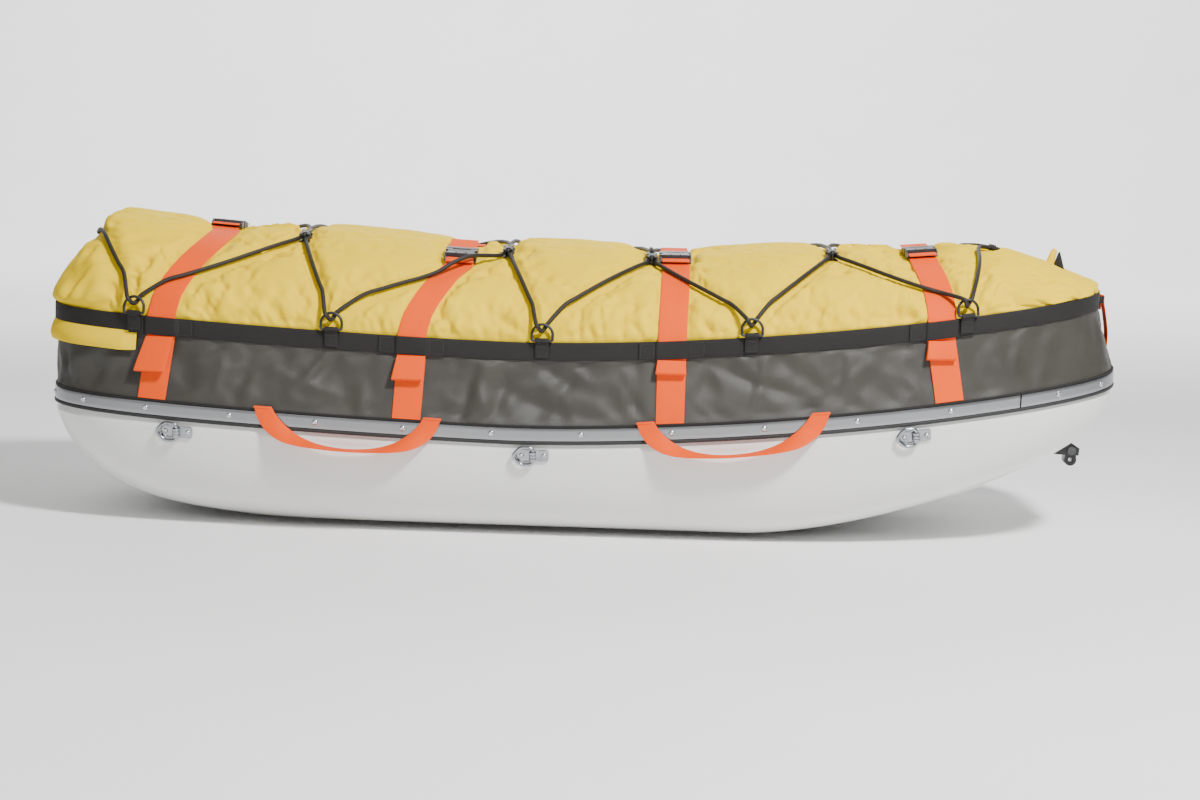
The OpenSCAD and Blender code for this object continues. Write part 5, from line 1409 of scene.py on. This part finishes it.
flap_obj = piece("cover_stern_hem", Shape().grid(stern_flap()), M_COVER,
                 replaces=["cover_stern_flap"], sharp=180, levels=1)
thicken(flap_obj, -1.2)

# Pull tab at the bow end of the cover

TAB_X = 672


def middle_z(x):
    return float(cover_z(TAB_X + x, 0))


def bow_tab():
    x = np.linspace(0, 1, 9)
    v = np.linspace(0, 1, 12)
    rows = []
    for a in x:
        foot_x = TAB_X + 14 * a
        z0, z1 = middle_z(14 * a) + 0.8, middle_z(12) + 35 - 2 * a - 3 * (2 * a - 1) ** 2
        rows.append([(mix(foot_x, TAB_X + 15 + 9 * a, q) + 1.2 * math.sin(5 * q), 0.0, mix(z0, z1, q))
                     for q in v])
    mid = np.array(rows)
    swell = np.sin(np.pi * x)[:, None] ** 0.5 * (0.6 + 0.4 * np.sin(np.pi * v)[None, :]) * 3.9
    front, back = mid.copy(), mid.copy()
    front[..., 1] -= swell
    back[..., 1] += swell
    return np.concatenate([front, back[::-1]], 0)


tab = Shape().grid(np.transpose(bow_tab(), (1, 0, 2)), wrap_j=True, caps=True)
piece("cover_pull_tab", tab, M_COVER, replaces=["cover_bow_tab"], sharp=60)
# Corners of the wedge: a place from the tab, where the cover is measured, and a height over it
wedge = [(TAB_X + x, middle_z(at) + up) for x, at, up in
         ((14.6, 14.6, .7), (26, 26, .7), (37, 37, .7), (35, 35, 10), (27, 12, 29), (24.5, 12, 29))]
upright = placer((0, 0, 0), (1, 0, 0), (0, 0, 1), (0, 1, 0))
piece("pull_tab_gusset", Shape().prism(wedge, -1.5, 1.5, upright, 0.9), M_WEB)

# Packed load under the cover

load_x, load_y = (q[::5, ::4] for q in cover_plan()[:2])
lump = value_noise(pts(load_x, load_y, 0), 120, 3, 2.2)
top = pts(load_x * 0.985, load_y * 0.975, cover_z(load_x, load_y) - 9 + 2 * lump)
low = pts(np.clip(load_x, FLOOR_STERN + 40, FLOOR_BOW - 60), load_y * 0.66, 0)
low[..., 2] = floor_z(low[..., 0]) + HULL_T + 3
load_side = np.stack([mix(border(top), border(low), q) for q in (0, 0.5, 1)], 1)
load_shape = Shape().grid(top).grid(low).grid(load_side, wrap_i=True)
load_obj = piece("packed_load", load_shape, M_LOAD, replaces=["load"], sharp=180,
                 levels=1)

# Side handles

HEM_Z, HEM_OFF = STRAP_FOOT + HEM_D / 2 + 0.4, BAND_OUT + 0.6
# Half of a handle: shares of its half length and of its drop, and its twist in degrees
HANDLE_ST = [(1, 0, 0), (0.96, 0.2, 0), (0.88, 0.45, 12), (0.74, 0.68, 40), (0.55, 0.85, 68),
             (0.3, 0.96, 85), (0, 1, 90)]


def handle_point(h, s, q):
    x = mix(h[0], h[1], (1 + s * q[0]) / 2)
    z = mix(HEM_Z, -HANDLE_DROP, q[1])
    twisted = BAND_OUT + 2.2 + HANDLE_W / 2 * math.sin(math.radians(q[2]))
    p = on(RIM, u_x(RIM, x), max(HEM_OFF + 2.3 * min(1, q[1] / 0.2), twisted))
    return np.array([p[0], p[1], float(rim_z(x)) + z])


def handle_shape(h):
    stations = [(-1, q) for q in HANDLE_ST] + [(1, q) for q in HANDLE_ST[-2::-1]]
    full = [handle_point(h, *q) for q in stations]
    e = unit(full[-1] - full[0])
    n = unit([e[1], -e[0], 0])
    rows = [(full[0] + [0, 0, 2.0], -e, n)]
    for i in range(1, len(full) - 1):
        t = unit(full[i + 1] - full[i - 1])
        flat = unit(np.cross(t, n))
        a = math.radians(stations[i][1][2])
        w = math.cos(a) * flat + math.sin(a) * n
        rows.append((full[i], w, unit(np.cross(w, t))))
    rows.append((full[-1] + [0, 0, 2.0], e, n))
    edges = [(*(c + s * w * HANDLE_W / 2 - k * STRAP_T / 2 for s in (-1, 1)), k) for c, w, k in rows]
    shape = ribbon_of(edges, sub=6)
    for c, w in ((full[0], -e), (full[-1], e)):
        roll = [c + w * q for q in np.linspace(-HANDLE_W / 2, HANDLE_W / 2, 9)]
        shape.tube(roll, [1.2, 1.8, *[1.9] * 5, 1.8, 1.2], 12)
    return shape


for i, h in enumerate(HANDLE_X, 1):
    for side in SIDES:
        name = f"handle_{side}_{i}"
        orange(name + "_webbing", on_side(handle_shape(h), side), name, body=name)

# Lash eyes

PLATE_GAP, PLATE_SCREW_X, KNUCKLE_D = 0.7, PLATE_L / 2 - 6, 10
HINGE_Y = PLATE_GAP + PLATE_T + LASH_WIRE / 2 + 0.8


def wall_pt(x, t):
    """Point of the hull's right hand wall at x."""
    row = hull_pt(US[AROUND // 2:], t)
    order = np.argsort(row[:, 0])
    return np.array([x, *(np.interp(x, row[order, 0], row[order, c]) for c in (1, 2))])


def lash_frame(x):
    """Place on the hull's wall at a set height under the rim: origin, along, out, down."""
    z, lo, hi = float(rim_z(x)) - LASH_DROP, 0.0, 0.6
    for _ in range(16):
        m = (lo + hi) / 2
        lo, hi = (m, hi) if wall_pt(x, m)[2] > z else (lo, m)
    t = (lo + hi) / 2
    e = unit(wall_pt(x + 12, t) - wall_pt(x - 12, t))
    n = unit(np.cross(e, unit(wall_pt(x, t - 0.03) - wall_pt(x, t + 0.03))))
    out = -n if n[1] > 0 else n
    return wall_pt(x, t), e, out, unit(np.cross(e, out))


def rounded(l, h, r):
    """Corners of a rounded rectangle about the origin."""
    out = []
    for sx, sy, a0 in ((1, 1, 0), (-1, 1, 90), (-1, -1, 180), (1, -1, 270)):
        out += [(sx * (l / 2 - r) + r * math.cos(a), sy * (h / 2 - r) + r * math.sin(a))
                for a in np.radians(np.linspace(a0, a0 + 90, 6))]
    return out


plates, lash_screws = Shape(), Shape()
LASH_HEAD = [(0, 0.9), (1.3, 0.9), (1.7, 1.7), (2.4, 1.9), (3.2, 1.3), (3.5, 0.5), (3.5, 0),
             (2, 0), (2, -7.5), (0, -7.5)]
for i, x in enumerate(LASH_X, 1):
    o, e, out, down = lash_frame(x)
    face = placer(o, e, down, out)
    plates.prism(rounded(PLATE_L, PLATE_H, 3.2), PLATE_GAP, PLATE_GAP + PLATE_T, face, 0.5)
    for k in (-1, 0, 1):
        turn = np.radians(np.linspace(-100, 200, 22))
        outer, inner = ([(r * math.cos(a), HINGE_Y + r * math.sin(a)) for a in turn]
                        for r in (KNUCKLE_D / 2, 3.0))
        plates.prism(outer + inner[::-1], k * 4.4 - 1.9, k * 4.4 + 1.9, placer(o, e, out, down), 0.45)
    for s in (-1, 1):
        head = o + e * s * PLATE_SCREW_X + out * (PLATE_GAP + PLATE_T)
        lash_screws.lathe(LASH_HEAD, placer(head, e, down, out), 20)
    r, w = LASH_REACH, LASH_W / 2
    arm = [(0, w - 3.5), (-2.6, w - .6), (-8, w + .4), (-16, w), (-r + 4.6, w - 4.6)]
    loop = [(0, -w + 3.5), (0, 0), *arm, (-r, 0), *[(q, -y) for q, y in arm[:0:-1]]]
    ring_line = placer(o + out * HINGE_Y, e, down, out)(pts(*np.array(catmull(loop, 6, True)).T, 0))
    ring_shape = Shape().tube(ring_line, LASH_WIRE / 2, 16, closed=True)
    for side in SIDES:
        name = f"lash_ring_{side}_{i}"
        piece(f"lash_eye_{side}_{i}", on_side(ring_shape, side), M_ZINC, body=name,
              replaces=[name])
piece("lash_plate_castings", both(plates), M_ZINC, replaces=["lash_plates"])
piece("lash_screw_heads", both(lash_screws), M_SCREW, replaces=["lash_screws"])

# Buckles

RAIL_W = (BUCKLE_W - STRAP_W) / 2 - 0.4
SOCKET_LEN, SPLIT_Y, PLUG_LEN = 24, 3, 11
SOCKET_Y, PLUG_Y = SPLIT_Y - SOCKET_LEN, SPLIT_Y + 0.4
W2, BH = BUCKLE_W / 2, BUCKLE_H


def buckle_rails(shape, put, y0, y1):
    """Side rails with pointed ends, the round bar under the webbing and a thin bar at their end."""
    g = 1 if y1 > y0 else -1
    for s in (-1, 1):
        x0, x1 = sorted((s * W2, s * (W2 - RAIL_W)))
        outline = [(y0, 0.6), (y1 - g * 3, 0.6), (y1 + g * 2.5, 3.2), (y1 - g * 2, BH - 3),
                   (y0, BH - 1.5)]
        rail = placer(put([x0, 0, 0]), turned(put, 0, 1, 0), turned(put, 0, 0, 1),
                      turned(put, 1, 0, 0))
        shape.prism(outline, 0, x1 - x0, rail, 0.6)
    shape.tube(put([[x, g * BAR_Y, BAR_Z] for x in (-W2 + .5, -8, 8, W2 - .5)]), BAR_D / 2, 14)
    shape.tube(put([[x, y1 + g * 1.2, 3.0] for x in (-W2 + .8, -8, 8, W2 - .8)]), 1.1, 10)


for k, f in enumerate(BUCKLES, 1):
    put = placer(*f)
    socket, plug = Shape(), Shape()
    half = [(W2, SOCKET_Y)] + [(W2 - q, SPLIT_Y - y) for q, y in
                               ((0, 17), (4, 15.5), (4, 8), (0, 6.5), (0, 0), (9, 0), (11, 3))]
    notch = [(-W2, SOCKET_Y)] + half + [(-x, y) for x, y in half[:0:-1]]
    for z0, z1 in ((0.2, 2.5), (BH - 2.5, BH)):
        socket.prism(notch, z0, z1, put, 0.6)
    socket.block((-W2, SOCKET_Y, 2), (W2, SPLIT_Y - 21, BH - 2), put, 0.4)
    for s in (-1, 1):
        x0, x1 = sorted((s * W2, s * (W2 - 4)))
        socket.block((x0, SPLIT_Y - 6.5, 2), (x1, SPLIT_Y, BH - 2), put, 0.5)
        socket.block((x0, SPLIT_Y - 21, 2), (x1, SPLIT_Y - 16.5, BH - 2), put, 0.5)
        socket.block((s * 7 - 1.2, SOCKET_Y + 3, BH - .3), (s * 7 + 1.2, SPLIT_Y - 5, BH + .5), put,
                     0.3)
    buckle_rails(socket, put, SOCKET_Y + 1, -BUCKLE_L / 2)
    plug_half = [(W2, PLUG_Y), (W2, PLUG_Y + 6), (W2 - 1.5, PLUG_Y + PLUG_LEN)]
    outline = [(-W2, PLUG_Y)] + plug_half + [(-x, y) for x, y in plug_half[:0:-1]]
    plug.prism(outline, 0.2, BH, put, 1.2)
    for s in (-1, 1):
        x = W2 - 4 - 0.4 - 3.5
        prong = [(x - 3.5, PLUG_Y + 1), (x + 1, PLUG_Y + 1), (x + 1, SPLIT_Y - 7),
                 (x + 3.2, SPLIT_Y - 9), (x + 3.5, SPLIT_Y - 14.5), (x + 1.5, SPLIT_Y - 17),
                 (x - 3.5, SPLIT_Y - 15)]
        plug.prism([(s * q, y) for q, y in prong[::s]], 3.9, BH - 3.9, put, 0.6)
    plug.block((-4, SPLIT_Y - 13, 3.9), (4, PLUG_Y + 1, BH - 3.9), put, 0.8)
    buckle_rails(plug, put, PLUG_Y + PLUG_LEN - 1, BUCKLE_L / 2)
    piece(f"buckle_socket_body_{k}", socket, M_BUCKLE,
          replaces=[f"buckle_socket_{k}"])
    piece(f"buckle_plug_body_{k}", plug, M_BUCKLE, body=f"buckle_plug_{k}",
          replaces=[f"buckle_plug_{k}"])

# Bow handle and its loops

LOOP_REACH, LOOP_H, LOOP_WALL, BOW_W = 17, 10, 2, 25
LOOP_X, LOOP_Z = TOP_BOW + WEB_OUT + FIT, float(web_z(TOP_BOW)) - 12
LOOP_HALF = BOW_W / 2 + 4.5
SIDE_LOOP_Z = float(rim_z(HULL_L / 2)) + 36


def flat_band(line, w, t, sub, widths=None):
    """Webbing w wide across the sled along a line of (x, z) points, its middle on the line."""
    line = np.asarray(line, float)
    tang = unit(np.gradient(line, axis=0))
    rows = []
    for i, ((x, z), (tx, tz)) in enumerate(zip(line, tang)):
        n = np.array([tz, 0, -tx])
        h = w / 2 * (1 if widths is None else widths[i])
        c = np.array([x, 0, z]) - n * t / 2
        rows.append((c - [0, h, 0], c + [0, h, 0], n))
    return ribbon_of(rows, t=t, sub=sub)


bar = LOOP_X + LOOP_REACH - LOOP_WALL / 2
gap = LOOP_WALL / 2 + 2 * FIT + STRAP_T / 2
top_z = LOOP_Z + LOOP_H + 2 * FIT + STRAP_T / 2
foot = float(rim_z(RIM[1])) + STRAP_FOOT
bow_line = [(RIM[1] + SKIRT_OUT + 2.2, foot), (RIM[1] + 5, foot + 18), (RIM[1] + 5, foot + 42),
            (bar + gap + 3, LOOP_Z - 14), (bar + gap, LOOP_Z), (bar + gap, top_z - 2),
            (bar + gap - 1.2, top_z), (bar - gap + 1.2, top_z), (bar - gap, top_z - 2),
            (bar - gap, LOOP_Z - 10)]
orange("bow_handle_webbing", flat_band(bow_line, BOW_W, STRAP_T, 4, widths=[.45, .85, *[1] * 8]),
       "bow_handle")

loops = Shape()
r = LOOP_WALL / 2
x0, x1 = LOOP_X + r, LOOP_X + LOOP_REACH - r
yh = LOOP_HALF - r
half = [(mix(x0, x1, .5), yh), (x1 - 1, yh), (x1, yh - 1)]
line = np.array([(x0, -yh), (x0, 0), (x0, yh), *half, (x1, 0), *[(x, -y) for x, y in half[::-1]]])
low = pts(line[:, 0], line[:, 1], LOOP_Z)
n = unit(line - [mix(x0, x1, .5), 0])
n3 = pts(n[:, 0], n[:, 1], 0)
loops.ribbon(low - n3 * r, low + [0, 0, LOOP_H] - n3 * r, n3, n3, LOOP_WALL, closed=True, sub=3)
za, zb = float(rim_z(RIM[1])) + BAND_H / 2, float(web_z(TOP_BOW)) - WEB_H / 2
skirt_x = mix(RIM[1] + SKIRT_OUT, TOP_BOW + SKIRT_T, (SIDE_LOOP_Z - za) / (zb - za)) - 0.9
centre = np.array([skirt_x + 4.5, BOW_W / 2 + 14, SIDE_LOOP_Z + 11])
turn = np.linspace(0, TAU, 25)[:-1]
mid = centre + pts(-3.5 * np.cos(turn), 0, 10 * np.sin(turn))
tang = unit(np.roll(mid, -1, 0) - np.roll(mid, 1, 0))
out = pts(-tang[:, 2], 0, tang[:, 0])
out = np.where((np.sum(out * (mid - centre), 1) > 0)[:, None], out, -out)
loops.ribbon(mid - [0, 10, 0] - out, mid + [0, 10, 0] - out, out, out, 2, closed=True)
piece("bow_loop_webbing", loops, M_WEB, replaces=["bow_webbing"])

# Tow fitting keeps its solids, with broken edges

SOFT_EDGE = {"tow_bracket": (M_TOW, 0.9), "tow_link": (M_TOW, 0.9), "tow_pin": (M_PIN, 0.5)}
for name, (mat, width) in SOFT_EDGE.items():
    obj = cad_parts[name]
    obj.data.materials.clear()
    obj.data.materials.append(mat)
    weld = obj.modifiers.new("weld", "WELD")
    weld.merge_threshold = 1e-5
    bevel = obj.modifiers.new("edges", "BEVEL")
    bevel.width, bevel.segments = width * MM, 3
    bevel.limit_method, bevel.angle_limit = "ANGLE", math.radians(40)
    bevel.harden_normals = False

# The stay runs from the bottom to the link: places from the fitting and heights under the bottom
stay = [(TOW_X + x, float(floor_z(TOW_X + x)) - z) for x, z in ((-46, 1.6), (-40, 2.2), (-28, 9))]
stay.append((TOW_X + 11.7, float(floor_z(TOW_X)) - 16))
piece("tow_stay_webbing", flat_band(stay, 20, 2, 6), M_WEB, replaces=["tow_stay"])
